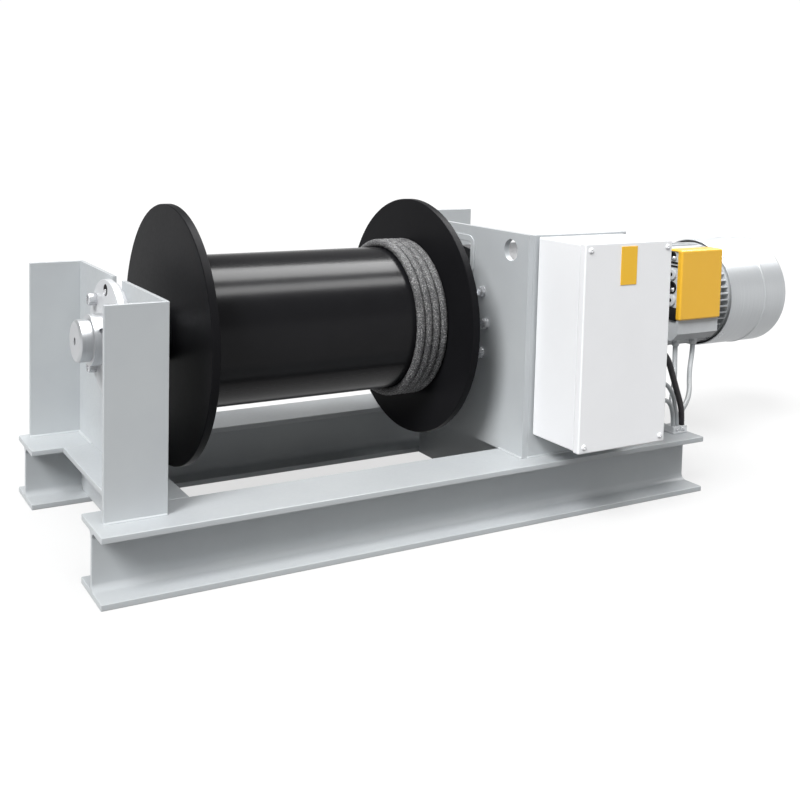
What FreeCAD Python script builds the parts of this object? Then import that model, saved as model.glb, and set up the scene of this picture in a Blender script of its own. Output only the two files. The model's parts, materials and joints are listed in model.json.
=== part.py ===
"""Mooring winch: welded beam frame, rope drum, coaxial gearbox and motor, switch cabinet.

Frame of the part: X runs along the drum's axis, from the bearing to the motor.  Y runs from
the front beam to the rear beam.  Z is up.  The origin is the centre of the front beam's
underside.  All sizes are in millimetres.
"""
import FreeCAD, Part
import math
import os

Vector = FreeCAD.Vector

# ---------------------------------------------------------------- driving dimensions
# The two base beams, wide-flange I sections lying along X.
BEAM_LENGTH = 1320.0
BEAM_HEIGHT = 120.0
BEAM_WIDTH = 120.0
BEAM_FLANGE = 11.0
BEAM_WEB = 6.5
BEAM_ROOT_RADIUS = 12.0
BEAM_SPACING = 490.0            # from web to web

# The drum's axis.
AXIS_SETBACK = 263.5            # behind the front beam's web
AXIS_HEIGHT = 369.5             # above the floor

# Cross members that join the beams.
LEFT_CROSS_INSET = 62.0         # from the beams' left ends to the plate
LEFT_CROSS_WIDTH = 130.0
LEFT_CROSS_WEB_INSET = 52.0     # from the plate's left edge to its web
CROSS_WEB = 8.0
RIGHT_CROSS_INSET = 412.0       # from the beams' right ends to the plate
RIGHT_CROSS_THICKNESS = 12.0

# The bearing stand, a channel that stands on end and is open to the left.
STAND_INSET = 18.0              # from the beams' left ends to the open edges
STAND_DEPTH = 111.0             # along X
STAND_WIDTH = 541.0             # along Y, outside
STAND_RISE = 112.5              # of the top edge above the drum's axis
STAND_PLATE = 8.0
STAND_NOTCH = 60.0

# The flanged bearing unit, which sits on the outside of the stand's web.
BEARING_FLANGE_RADIUS = 111.0
BEARING_FLANGE = 13.0
BEARING_STEP_RADIUS = 104.0
BEARING_STEP = 9.0
BEARING_SPIGOT_RADIUS = 74.0
BEARING_BOSS_RADIUS = 60.0
BEARING_BOSS = 4.0
BEARING_SCREW_CIRCLE = 92.0
BEARING_SCREW_HEAD_RADIUS = 12.0
BEARING_SCREW_HEAD = 16.0
BEARING_SCREW_RADIUS = 8.0
GREASE_PORT_RADIUS = 9.0
GREASE_PORT_DEPTH = 8.0

# The shaft, its locking collar and the drum.
SHAFT_RADIUS = 40.0
SHAFT_OVERHANG = 80.0           # from the bearing stand's web to the shaft's end
SHAFT_CHAMFER = 4.0
SHAFT_CENTRE_HOLE_RADIUS = 7.0
SHAFT_CENTRE_HOLE_DEPTH = 25.0
SHAFT_REACH_INTO_DRUM = 60.0
COLLAR_RADIUS = 48.0
COLLAR_LENGTH = 28.0
COLLAR_SCREW_RADIUS = 5.0
COLLAR_SCREW_ANGLE = 150.0      # around the axis, from the rear upwards
DRUM_STAND_GAP = 85.0           # from the bearing stand's web to the drum's left flange
DRUM_FLANGE_RADIUS = 250.0
DRUM_FLANGE = 12.0
DRUM_INSIDE_LENGTH = 537.0      # between the flanges
BARREL_RADIUS = 149.0
BARREL_WALL = 10.0
LEFT_HUB_RADIUS = 50.0
LEFT_HUB = 14.0
DRIVE_HUB_RADIUS = 100.0
DRIVE_HUB = 20.0
DRIVE_BOSS_RADIUS = 70.0
OUTPUT_SHAFT_RADIUS = 45.0
OUTPUT_SHAFT_DEPTH = 60.0       # into the gearbox, from the bulkhead's left face

# The rope that is wound on the barrel, against the right flange.
ROPE_RADIUS = 8.5
ROPE_TURNS = 4
ROPE_PITCH = 18.0

# The bulkhead and its side plates, which carry the gearbox.
BULKHEAD_GAP = 87.0             # from the drum's right flange to the bulkhead
BULKHEAD_THICKNESS = 12.0
BULKHEAD_WIDTH = 563.0
BULKHEAD_RISE = 198.5           # of the top edge above the drum's axis
BULKHEAD_HOLE_RADIUS = 88.0
SIDE_PLATE_LENGTH = 240.0
SIDE_PLATE_THICKNESS = 10.0
LIFTING_HOLE_RADIUS = 22.0
LIFTING_HOLE_EDGE = 57.0        # from the bulkhead's side edges to the hole's centre
LIFTING_HOLE_DROP = 36.0        # from the bulkhead's top edge to the hole's centre
WINDOW_WIDTH = 176.0
WINDOW_HEIGHT = 58.0
WINDOW_DROP = 34.0              # from the bulkhead's top edge to the window
WINDOW_CORNER_RADIUS = 8.0
WINDOW_RIM = 14.0
WINDOW_RIM_RAISE = 3.0

# The gearbox.
GEARBOX_FLANGE_RADIUS = 168.0
GEARBOX_FLANGE = 24.0
GEARBOX_BOLT_CIRCLE = 149.0
GEARBOX_BOLT_STEPS = 14
GEARBOX_BOLT_RADIUS = 6.0
GEARBOX_BOLT_HEAD_FLATS = 18.0
GEARBOX_BOLT_HEAD = 8.0
GEARBOX_WASHER_RADIUS = 12.0
GEARBOX_WASHER = 2.5
GEARBOX_BOLT_DEPTH = 16.0
GEARBOX_MAIN_RADIUS = 145.0
GEARBOX_MAIN_LENGTH = 205.0
GEARBOX_INPUT_RADIUS = 112.0
GEARBOX_INPUT_LENGTH = 210.0

# The motor, with the brake and the fan under its cowl.
MOTOR_ADAPTER_RADIUS = 132.0
MOTOR_ADAPTER = 30.0
MOTOR_RADIUS = 126.0
MOTOR_LENGTH = 271.0
MOTOR_ROOT_RADIUS = 106.0       # of the frame between its fins
MOTOR_RING = 16.0               # along X, the closed ring at each end of the frame
MOTOR_FIN_THICKNESS = 3.4
MOTOR_FIN_PITCH = 15.5
MOTOR_LEVEL_FINS = 11           # at the front and rear
MOTOR_UPRIGHT_FINS = 9          # above and below
MOTOR_PAD_INSET = 6.0           # from the terminal box's ends to the pad that carries it
MOTOR_PAD_HEIGHT = 80.0
COWL_RADIUS = 135.0
COWL_LENGTH = 197.0
COWL_WALL = 3.0
COWL_OVERLAP = 12.0             # of the cowl over the motor's frame
COWL_EDGE_RADIUS = 6.0
BRAKE_RADIUS = 120.0
BRAKE_END_GAP = 25.0            # from the brake to the cowl's end wall
COWL_PAD_RADIUS = 5.0
COWL_PAD_INSET = 6.5            # from the cowl's open edge

# The terminal box on the motor's front.
TERMINAL_INSET = 6.0            # from the motor frame's left end
TERMINAL_WIDTH = 129.0          # along X
TERMINAL_REACH = 212.0          # from the drum's axis to the cover's front face
TERMINAL_TOP = 140.0            # above the drum's axis
TERMINAL_COVER_HEIGHT = 160.0
TERMINAL_COVER_WALL = 4.0
TERMINAL_COVER_LIP = 12.0       # how far the cover's side walls reach back
TERMINAL_COVER_TOP_DEPTH = 38.0
TERMINAL_EDGE_RADIUS = 5.0
TERMINAL_BASE_DROP = 50.0       # how far the base reaches below the cover
TERMINAL_BASE_SETBACK = 8.0     # from the cover's front face to the base's
TERMINAL_BASE_CHAMFER = 18.0
TERMINAL_BASE_DEPTH = 84.0
GLAND_RADIUS = 10.0
GLAND_HEIGHT = 16.0
GLAND_SETBACK = 38.0            # from the cover's front face to the glands
GLAND_FIRST = 30.0              # from the box's left side to the left gland
GLAND_SPACING = 55.0

# The switch cabinet.
CABINET_GAP = 8.0               # from the bulkhead to the cabinet
CABINET_WIDTH = 219.0
CABINET_HEIGHT = 400.0
CABINET_DROP = 2.0              # from the bulkhead's top edge to the cabinet's
CABINET_BODY_DEPTH = 120.0
CABINET_GASKET = 3.0
CABINET_COVER = 15.0
CABINET_BODY_INSET = 2.0
CABINET_GASKET_INSET = 6.0
CABINET_EDGE_RADIUS = 3.0
CABINET_SPACER = 4.0
CABINET_SPACER_RADIUS = 12.0
CABINET_SPACER_EDGE = 40.0
COVER_SCREW_RADIUS = 5.5
COVER_SCREW_HEAD = 3.0
COVER_SCREW_EDGE = 13.0
SIGN_PLATE_WIDTH = 40.0
SIGN_PLATE_HEIGHT = 74.0
SIGN_PLATE_THICKNESS = 1.0
SIGN_PLATE_DROP = 8.0           # from the cover's top edge
SIGN_PLATE_FROM_LEFT = 88.0     # from the cover's left edge

# Cables that run to a clamp on the front beam.
CABLE_RADIUS = 5.5
LEAD_RADIUS = 4.5
CONDUIT_RADIUS = 6.5
CLAMP_LENGTH = 42.0             # along X
CLAMP_DEPTH = 30.0              # along Y
CLAMP_HEIGHT = 16.0
CLAMP_FROM_END = 28.0           # from the beam's right end to the clamp's centre
CLAMP_OFFSET = -6.0             # of the clamp's centre from the beam's, along Y
CLAMP_REAR_ROW = 8.0            # from the clamp's centre to the motor cables
CLAMP_FRONT_ROW = -6.5          # from the clamp's centre to the cabinet's cables
CABLE_BEND = 0.45               # a bend's share of the shorter run beside it

# Where the cabinet's cables leave its right wall, behind its front face and above its bottom.
CONDUIT_EXIT = (90.0, 179.0)
UPPER_LEAD_EXIT = (98.0, 96.0)
LOWER_LEAD_EXIT = (108.0, 49.0)

# Where each cable ends, along X from the clamp's centre.
LEFT_MOTOR_CABLE_END = 0.5
RIGHT_MOTOR_CABLE_END = 15.0
CONDUIT_END = 10.0
UPPER_LEAD_END = -4.0
LOWER_LEAD_END = -14.5

# Cable routes, as shares of the way from the exit to the clamp along X, Y and Z.
LEFT_MOTOR_CABLE_ROUTE = [(0, 0, 0.16), (0.32, 0.34, 0.53), (0.74, 0.64, 0.84)]
RIGHT_MOTOR_CABLE_ROUTE = [(0, 0, 0.12), (0.28, 0.30, 0.45), (0.60, 0.80, 0.76)]
CONDUIT_ROUTE = [(0.23, 0, 0), (0.51, 0.17, 0.20), (0.66, 0.42, 0.42), (0.82, 0.68, 0.66), (0.96, 0.92, 0.86)]
UPPER_LEAD_ROUTE = [(0.32, 0, 0), (0.55, 0.08, 0.13), (0.69, 0.34, 0.28), (0.84, 0.65, 0.51), (0.94, 0.91, 0.78)]
LOWER_LEAD_ROUTE = [(0.37, 0, 0), (0.63, 0.10, 0.08), (0.78, 0.40, 0.25), (0.92, 0.78, 0.62)]

# ---------------------------------------------------------------- clearances
RUNNING = 0.05                  # radial, between a turning shaft and its bore
COLLAR_CLEARANCE = 0.5          # along X, from the locking collar to the bearing
SPIGOT_CLEARANCE = 0.5          # radial, between a spigot and its hole
BOLT_CLEARANCE = 0.75           # radial, between a bolt and its hole
BOSS_CLEARANCE = 8.0            # along X, from the turning boss to the bulkhead
SHAFT_END_CLEARANCE = 3.0       # along X, past the output shaft's blind end

# ---------------------------------------------------------------- positions
LEFT_END = -BEAM_LENGTH / 2
RIGHT_END = BEAM_LENGTH / 2
BEAM_TOP = BEAM_HEIGHT
FLANGE_HALF = BEAM_WIDTH / 2
STAND_OUTER_X = LEFT_END + STAND_INSET
STAND_WEB_RIGHT = STAND_OUTER_X + STAND_DEPTH
STAND_WEB_LEFT = STAND_WEB_RIGHT - STAND_PLATE
STAND_FRONT = AXIS_SETBACK - STAND_WIDTH / 2
STAND_REAR = AXIS_SETBACK + STAND_WIDTH / 2
STAND_TOP = AXIS_HEIGHT + STAND_RISE
BEARING_STEP_LEFT = STAND_WEB_LEFT - BEARING_STEP
BEARING_FACE = BEARING_STEP_LEFT - BEARING_FLANGE
BEARING_BOSS_FACE = BEARING_FACE - BEARING_BOSS
SHAFT_END = STAND_WEB_LEFT - SHAFT_OVERHANG
DRUM_LEFT = STAND_WEB_RIGHT + DRUM_STAND_GAP
BARREL_LEFT = DRUM_LEFT + DRUM_FLANGE
BARREL_RIGHT = BARREL_LEFT + DRUM_INSIDE_LENGTH
DRUM_RIGHT = BARREL_RIGHT + DRUM_FLANGE
BULKHEAD_LEFT = DRUM_RIGHT + BULKHEAD_GAP
BULKHEAD_RIGHT = BULKHEAD_LEFT + BULKHEAD_THICKNESS
BULKHEAD_FRONT = AXIS_SETBACK - BULKHEAD_WIDTH / 2
BULKHEAD_REAR = AXIS_SETBACK + BULKHEAD_WIDTH / 2
BULKHEAD_TOP = AXIS_HEIGHT + BULKHEAD_RISE
WINDOW_TOP = BULKHEAD_TOP - WINDOW_DROP
WINDOW_BOTTOM = WINDOW_TOP - WINDOW_HEIGHT
GEARBOX_MAIN_LEFT = BULKHEAD_RIGHT + GEARBOX_FLANGE
GEARBOX_INPUT_LEFT = GEARBOX_MAIN_LEFT + GEARBOX_MAIN_LENGTH
ADAPTER_LEFT = GEARBOX_INPUT_LEFT + GEARBOX_INPUT_LENGTH
MOTOR_LEFT = ADAPTER_LEFT + MOTOR_ADAPTER
MOTOR_RIGHT = MOTOR_LEFT + MOTOR_LENGTH
COWL_LEFT = MOTOR_RIGHT - COWL_OVERLAP
COWL_RIGHT = COWL_LEFT + COWL_LENGTH
TERMINAL_LEFT = MOTOR_LEFT + TERMINAL_INSET
TERMINAL_RIGHT = TERMINAL_LEFT + TERMINAL_WIDTH
TERMINAL_FRONT = AXIS_SETBACK - TERMINAL_REACH
TERMINAL_TOP_Z = AXIS_HEIGHT + TERMINAL_TOP
TERMINAL_COVER_BOTTOM = TERMINAL_TOP_Z - TERMINAL_COVER_HEIGHT
TERMINAL_BASE_BOTTOM = TERMINAL_COVER_BOTTOM - TERMINAL_BASE_DROP
CABINET_LEFT = BULKHEAD_RIGHT + CABINET_GAP
CABINET_RIGHT = CABINET_LEFT + CABINET_WIDTH
CABINET_REAR = BULKHEAD_FRONT - CABINET_SPACER
CABINET_BODY_FRONT = CABINET_REAR - CABINET_BODY_DEPTH
CABINET_COVER_REAR = CABINET_BODY_FRONT - CABINET_GASKET
CABINET_FRONT = CABINET_COVER_REAR - CABINET_COVER
CABINET_HIGH = BULKHEAD_TOP - CABINET_DROP
CABINET_LOW = CABINET_HIGH - CABINET_HEIGHT
CLAMP_X = RIGHT_END - CLAMP_FROM_END
CLAMP_TOP = BEAM_TOP + CLAMP_HEIGHT


# ---------------------------------------------------------------- shape helpers
def block(x0, x1, y0, y1, z0, z1):
    """A box between two corners."""
    return Part.makeBox(x1 - x0, y1 - y0, z1 - z0, Vector(x0, y0, z0))


def disc(x0, x1, radius, offset_y=0.0, offset_z=0.0):
    """A cylinder along X, on the drum's axis or offset from it."""
    base = Vector(x0, AXIS_SETBACK + offset_y, AXIS_HEIGHT + offset_z)
    return Part.makeCylinder(radius, x1 - x0, base, Vector(1, 0, 0))


def tube(x0, x1, outer, inner):
    """A ring along X on the drum's axis."""
    return disc(x0, x1, outer).cut(disc(x0, x1, inner))


def around_axis(radius, degrees):
    """Offsets in Y and Z of a point at an angle around the drum's axis."""
    angle = math.radians(degrees)
    return radius * math.cos(angle), radius * math.sin(angle)


def rounded(shape, radius, keep):
    """Fillet the edges of a shape for which keep(edge) is true."""
    edges = [edge for edge in shape.Edges if keep(edge)]
    return shape.makeFillet(radius, edges)


def runs_along(edge, axis):
    """True for a straight edge along one axis, 0 for X, 1 for Y and 2 for Z."""
    if edge.Curve.TypeId != "Part::GeomLine":
        return False
    direction = edge.Curve.Direction
    return abs((direction.x, direction.y, direction.z)[axis]) > 0.999


def cable(points, radius):
    """A round cable along straight runs joined by tangent arcs."""
    corners = [Vector(*point) for point in points]
    edges = []
    start = corners[0]
    for before, corner, after in zip(corners, corners[1:], corners[2:]):
        run_in = corner - before
        run_out = after - corner
        shorter = min(run_in.Length, run_out.Length)
        turn = run_in.getAngle(run_out)
        setback = CABLE_BEND * shorter
        bend_radius = setback / math.tan(turn / 2)
        into = Vector(run_in).normalize()
        out_of = Vector(run_out).normalize()
        arc_start = corner - into * setback
        arc_end = corner + out_of * setback
        inward = (out_of - into).normalize()
        centre = corner + inward * (bend_radius / math.cos(turn / 2))
        middle = centre - inward * bend_radius
        edges.append(Part.LineSegment(start, arc_start).toShape())
        edges.append(Part.Arc(arc_start, middle, arc_end).toShape())
        start = arc_end
    edges.append(Part.LineSegment(start, corners[-1]).toShape())
    path = Part.Wire(edges)
    first_run = corners[1] - corners[0]
    section = Part.Wire(Part.makeCircle(radius, corners[0], first_run))
    return path.makePipeShell([section], True, False)


def save(name, shape):
    """Write one node, as its solids."""
    solids = shape.Solids
    result = solids[0] if len(solids) == 1 else Part.makeCompound(solids)
    result.exportStep("parts/" + name + ".step")


# ---------------------------------------------------------------- frame
def beam(centre_y):
    """A wide-flange beam along X with rounded roots."""
    y0 = centre_y - FLANGE_HALF
    y1 = centre_y + FLANGE_HALF
    low = block(LEFT_END, RIGHT_END, y0, y1, 0, BEAM_FLANGE)
    high = block(LEFT_END, RIGHT_END, y0, y1, BEAM_HEIGHT - BEAM_FLANGE, BEAM_HEIGHT)
    web_front = centre_y - BEAM_WEB / 2
    web_rear = centre_y + BEAM_WEB / 2
    web = block(LEFT_END, RIGHT_END, web_front, web_rear, BEAM_FLANGE, BEAM_HEIGHT - BEAM_FLANGE)
    section = low.fuse([web, high]).removeSplitter()
    root_offset = BEAM_WEB / 2

    def is_root(edge):
        middle = edge.CenterOfMass
        beside_web = abs(abs(middle.y - centre_y) - root_offset) < 0.01
        return runs_along(edge, 0) and beside_web

    return rounded(section, BEAM_ROOT_RADIUS, is_root)


def left_cross_plate():
    """The flange of the left cross member, level with the beams' tops."""
    x0 = LEFT_END + LEFT_CROSS_INSET
    y0 = FLANGE_HALF
    y1 = BEAM_SPACING - FLANGE_HALF
    return block(x0, x0 + LEFT_CROSS_WIDTH, y0, y1, BEAM_TOP - BEAM_FLANGE, BEAM_TOP)


def left_cross_web():
    """The web of the left cross member, coped around the beams' roots."""
    x0 = LEFT_END + LEFT_CROSS_INSET + LEFT_CROSS_WEB_INSET
    y0 = BEAM_WEB / 2
    y1 = BEAM_SPACING - BEAM_WEB / 2
    web = block(x0, x0 + CROSS_WEB, y0, y1, BEAM_FLANGE, BEAM_HEIGHT - BEAM_FLANGE)

    def is_end_corner(edge):
        middle = edge.CenterOfMass
        at_end = abs(middle.y - y0) < 0.01 or abs(middle.y - y1) < 0.01
        return runs_along(edge, 0) and at_end

    corners = [edge for edge in web.Edges if is_end_corner(edge)]
    return web.makeChamfer(BEAM_ROOT_RADIUS, corners)


def right_cross_plate():
    """The upright plate that joins the beams under the bulkhead."""
    x0 = RIGHT_END - RIGHT_CROSS_INSET
    y0 = FLANGE_HALF
    y1 = BEAM_SPACING - FLANGE_HALF
    return block(x0, x0 + RIGHT_CROSS_THICKNESS, y0, y1, 0, BEAM_TOP)


def bearing_stand_web():
    """The stand's web, with the bearing's hole open to the top through a notch."""
    y0 = STAND_FRONT + STAND_PLATE
    y1 = STAND_REAR - STAND_PLATE
    web = block(STAND_WEB_LEFT, STAND_WEB_RIGHT, y0, y1, BEAM_TOP, STAND_TOP)
    web = web.cut(disc(STAND_WEB_LEFT, STAND_WEB_RIGHT, BEARING_SPIGOT_RADIUS + SPIGOT_CLEARANCE))
    half = STAND_NOTCH / 2
    notch = block(STAND_WEB_LEFT, STAND_WEB_RIGHT, AXIS_SETBACK - half, AXIS_SETBACK + half,
                  AXIS_HEIGHT, STAND_TOP)
    web = web.cut(notch)
    for offset_y, offset_z in bearing_screw_places():
        hole = disc(STAND_WEB_LEFT, STAND_WEB_RIGHT, BEARING_SCREW_RADIUS + BOLT_CLEARANCE,
                    offset_y, offset_z)
        web = web.cut(hole)
    return web


def bearing_stand_flange(outer_y, inner_y):
    """One of the stand's two flanges."""
    y0 = min(outer_y, inner_y)
    y1 = max(outer_y, inner_y)
    return block(STAND_OUTER_X, STAND_WEB_RIGHT, y0, y1, BEAM_TOP, STAND_TOP)


# ---------------------------------------------------------------- bearing
def bearing_screw_places():
    return [around_axis(BEARING_SCREW_CIRCLE, degrees) for degrees in (45, 135, 225, 315)]


def bearing_housing():
    """The flanged housing, stepped behind its rim, with a spigot in the stand's hole."""
    body = disc(BEARING_FACE, BEARING_STEP_LEFT, BEARING_FLANGE_RADIUS)
    body = body.fuse(disc(BEARING_STEP_LEFT, STAND_WEB_LEFT, BEARING_STEP_RADIUS))
    body = body.fuse(disc(STAND_WEB_LEFT, STAND_WEB_RIGHT, BEARING_SPIGOT_RADIUS))
    body = body.fuse(disc(BEARING_BOSS_FACE, BEARING_FACE, BEARING_BOSS_RADIUS))
    body = body.cut(disc(BEARING_BOSS_FACE, STAND_WEB_RIGHT, SHAFT_RADIUS + RUNNING))
    port_y, port_z = around_axis(BEARING_SCREW_CIRCLE, 90)
    port = disc(BEARING_FACE, BEARING_FACE + GREASE_PORT_DEPTH, GREASE_PORT_RADIUS, port_y, port_z)
    body = body.cut(port)
    for offset_y, offset_z in bearing_screw_places():
        hole = disc(BEARING_FACE, STAND_WEB_RIGHT, BEARING_SCREW_RADIUS + BOLT_CLEARANCE,
                    offset_y, offset_z)
        body = body.cut(hole)
    return body.removeSplitter()


def bearing_screws():
    """Four socket head screws that hold the bearing to the stand."""
    screws = []
    socket_radius = BEARING_SCREW_HEAD_RADIUS / 2
    for offset_y, offset_z in bearing_screw_places():
        head_left = BEARING_FACE - BEARING_SCREW_HEAD
        head = disc(head_left, BEARING_FACE, BEARING_SCREW_HEAD_RADIUS, offset_y, offset_z)
        socket = disc(head_left, head_left + BEARING_SCREW_HEAD / 2, socket_radius, offset_y, offset_z)
        shank = disc(BEARING_FACE, STAND_WEB_RIGHT, BEARING_SCREW_RADIUS, offset_y, offset_z)
        screws.append(head.cut(socket).fuse(shank))
    return Part.makeCompound(screws)


# ---------------------------------------------------------------- drum
def drum_flange(x0):
    return tube(x0, x0 + DRUM_FLANGE, DRUM_FLANGE_RADIUS, SHAFT_RADIUS)


def drum_barrel():
    return tube(BARREL_LEFT, BARREL_RIGHT, BARREL_RADIUS, BARREL_RADIUS - BARREL_WALL)


def drum_left_hub():
    return tube(DRUM_LEFT - LEFT_HUB, DRUM_LEFT, LEFT_HUB_RADIUS, SHAFT_RADIUS)


def drum_shaft():
    """The stub shaft, from the bearing's outside to inside the drum."""
    end = BARREL_LEFT + SHAFT_REACH_INTO_DRUM
    shaft = disc(SHAFT_END, end, SHAFT_RADIUS)
    rim = [edge for edge in shaft.Edges
           if edge.Curve.TypeId == "Part::GeomCircle" and abs(edge.CenterOfMass.x - SHAFT_END) < 0.01]
    shaft = shaft.makeChamfer(SHAFT_CHAMFER, rim)
    return shaft.cut(disc(SHAFT_END, SHAFT_END + SHAFT_CENTRE_HOLE_DEPTH, SHAFT_CENTRE_HOLE_RADIUS))


def shaft_collar():
    """The locking collar, with the hole of its set screw on the front."""
    right = BEARING_BOSS_FACE - COLLAR_CLEARANCE
    left = right - COLLAR_LENGTH
    ring = tube(left, right, COLLAR_RADIUS, SHAFT_RADIUS)
    middle = Vector((left + right) / 2, AXIS_SETBACK, AXIS_HEIGHT)
    outward = Vector(0, *around_axis(1.0, COLLAR_SCREW_ANGLE))
    return ring.cut(Part.makeCylinder(COLLAR_SCREW_RADIUS, COLLAR_RADIUS, middle, outward))


def drive_hub():
    """The hub between drum and gearbox, with the output shaft that it turns on."""
    boss_right = BULKHEAD_LEFT - BOSS_CLEARANCE
    hub = disc(DRUM_RIGHT, DRUM_RIGHT + DRIVE_HUB, DRIVE_HUB_RADIUS)
    hub = hub.fuse(disc(DRUM_RIGHT + DRIVE_HUB, boss_right, DRIVE_BOSS_RADIUS))
    hub = hub.fuse(disc(boss_right, BULKHEAD_LEFT + OUTPUT_SHAFT_DEPTH, OUTPUT_SHAFT_RADIUS))
    spigot = disc(BARREL_RIGHT, DRUM_RIGHT, SHAFT_RADIUS)
    return hub.fuse(spigot).removeSplitter()


def rope_turns():
    """Turns of rope side by side on the barrel, as one scalloped ring."""
    crown = BARREL_RADIUS + ROPE_RADIUS
    right = BARREL_RIGHT
    left = right - ROPE_TURNS * ROPE_PITCH
    origin = Vector(0, AXIS_SETBACK, AXIS_HEIGHT)

    def at(x, radius):
        return origin + Vector(x, 0, radius)

    edges = [Part.LineSegment(at(right, BARREL_RADIUS), at(left, BARREL_RADIUS)).toShape()]
    edges.append(Part.LineSegment(at(left, BARREL_RADIUS), at(left, crown)).toShape())
    for turn in range(ROPE_TURNS):
        start = left + turn * ROPE_PITCH
        middle = at(start + ROPE_PITCH / 2, crown + ROPE_RADIUS)
        edges.append(Part.Arc(at(start, crown), middle, at(start + ROPE_PITCH, crown)).toShape())
    edges.append(Part.LineSegment(at(right, crown), at(right, BARREL_RADIUS)).toShape())
    face = Part.Face(Part.Wire(edges))
    return face.revolve(origin, Vector(1, 0, 0), 360)


# ---------------------------------------------------------------- bulkhead
def lifting_hole_places():
    """Y of the two lifting holes."""
    return (BULKHEAD_FRONT + LIFTING_HOLE_EDGE, BULKHEAD_REAR - LIFTING_HOLE_EDGE)


def window_prism(x0, x1, margin):
    """The window's rounded outline, grown by a margin, as a solid along X."""
    half = WINDOW_WIDTH / 2 + margin
    prism = block(x0, x1, AXIS_SETBACK - half, AXIS_SETBACK + half,
                  WINDOW_BOTTOM - margin, WINDOW_TOP + margin)
    return rounded(prism, WINDOW_CORNER_RADIUS + margin, lambda edge: runs_along(edge, 0))


def gearbox_bolt_places():
    """Bolt places around the gearbox flange, leaving out those behind the window."""
    places = []
    for step in range(GEARBOX_BOLT_STEPS):
        degrees = step * 360.0 / GEARBOX_BOLT_STEPS
        offset_y, offset_z = around_axis(GEARBOX_BOLT_CIRCLE, degrees)
        if AXIS_HEIGHT + offset_z + GEARBOX_WASHER_RADIUS < WINDOW_BOTTOM - WINDOW_RIM:
            places.append((offset_y, offset_z))
    return places


def bulkhead():
    """The plate that carries the gearbox, with its lifting holes and window."""
    plate = block(BULKHEAD_LEFT, BULKHEAD_RIGHT, BULKHEAD_FRONT, BULKHEAD_REAR,
                  BEAM_TOP, BULKHEAD_TOP)
    plate = plate.cut(disc(BULKHEAD_LEFT, BULKHEAD_RIGHT, BULKHEAD_HOLE_RADIUS))
    plate = plate.cut(window_prism(BULKHEAD_LEFT, BULKHEAD_RIGHT, 0.0))
    hole_z = BULKHEAD_TOP - LIFTING_HOLE_DROP
    for hole_y in lifting_hole_places():
        hole = disc(BULKHEAD_LEFT, BULKHEAD_RIGHT, LIFTING_HOLE_RADIUS,
                    hole_y - AXIS_SETBACK, hole_z - AXIS_HEIGHT)
        plate = plate.cut(hole)
    for offset_y, offset_z in gearbox_bolt_places():
        hole = disc(BULKHEAD_LEFT, BULKHEAD_RIGHT, GEARBOX_BOLT_RADIUS + BOLT_CLEARANCE,
                    offset_y, offset_z)
        plate = plate.cut(hole)
    return plate


def window_frame():
    """The raised rim around the window."""
    x0 = BULKHEAD_LEFT - WINDOW_RIM_RAISE
    return window_prism(x0, BULKHEAD_LEFT, WINDOW_RIM).cut(window_prism(x0, BULKHEAD_LEFT, 0.0))


def side_plate(outer_y, inner_y):
    """A plate that stands behind one edge of the bulkhead and braces it."""
    y0 = min(outer_y, inner_y)
    y1 = max(outer_y, inner_y)
    return block(BULKHEAD_RIGHT, BULKHEAD_RIGHT + SIDE_PLATE_LENGTH, y0, y1, BEAM_TOP, BULKHEAD_TOP)


# ---------------------------------------------------------------- gearbox
def gearbox_flange():
    """The gearbox's mounting flange, cut flat below the window, with its output bore."""
    flange = disc(BULKHEAD_RIGHT, GEARBOX_MAIN_LEFT, GEARBOX_FLANGE_RADIUS)
    flat = block(BULKHEAD_RIGHT, GEARBOX_MAIN_LEFT, BULKHEAD_FRONT, BULKHEAD_REAR,
                 WINDOW_BOTTOM, BULKHEAD_TOP)
    flange = flange.cut(flat)
    flange = flange.fuse(disc(BULKHEAD_LEFT, BULKHEAD_RIGHT, BULKHEAD_HOLE_RADIUS - SPIGOT_CLEARANCE))
    bore_end = BULKHEAD_LEFT + OUTPUT_SHAFT_DEPTH + SHAFT_END_CLEARANCE
    flange = flange.cut(disc(BULKHEAD_LEFT, bore_end, OUTPUT_SHAFT_RADIUS + RUNNING))
    for offset_y, offset_z in gearbox_bolt_places():
        hole = disc(BULKHEAD_RIGHT, BULKHEAD_RIGHT + GEARBOX_BOLT_DEPTH, GEARBOX_BOLT_RADIUS,
                    offset_y, offset_z)
        flange = flange.cut(hole)
    return flange.removeSplitter()


def hexagon(x0, x1, flats, offset_y, offset_z):
    """A hexagonal prism along X, across its flats."""
    corner = flats / 2 / math.cos(math.radians(30))
    points = []
    for step in range(7):
        y, z = around_axis(corner, step * 60)
        points.append(Vector(x0, AXIS_SETBACK + offset_y + y, AXIS_HEIGHT + offset_z + z))
    return Part.Face(Part.makePolygon(points)).extrude(Vector(x1 - x0, 0, 0))


def gearbox_bolts():
    """Hexagon bolts with washers, through the bulkhead into the gearbox flange."""
    bolts = []
    washer_left = BULKHEAD_LEFT - GEARBOX_WASHER
    head_left = washer_left - GEARBOX_BOLT_HEAD
    shank_right = BULKHEAD_RIGHT + GEARBOX_BOLT_DEPTH
    for offset_y, offset_z in gearbox_bolt_places():
        head = hexagon(head_left, washer_left, GEARBOX_BOLT_HEAD_FLATS, offset_y, offset_z)
        washer = disc(washer_left, BULKHEAD_LEFT, GEARBOX_WASHER_RADIUS, offset_y, offset_z)
        shank = disc(BULKHEAD_LEFT, shank_right, GEARBOX_BOLT_RADIUS, offset_y, offset_z)
        bolts.append(head.fuse([washer, shank]))
    return Part.makeCompound(bolts)


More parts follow.
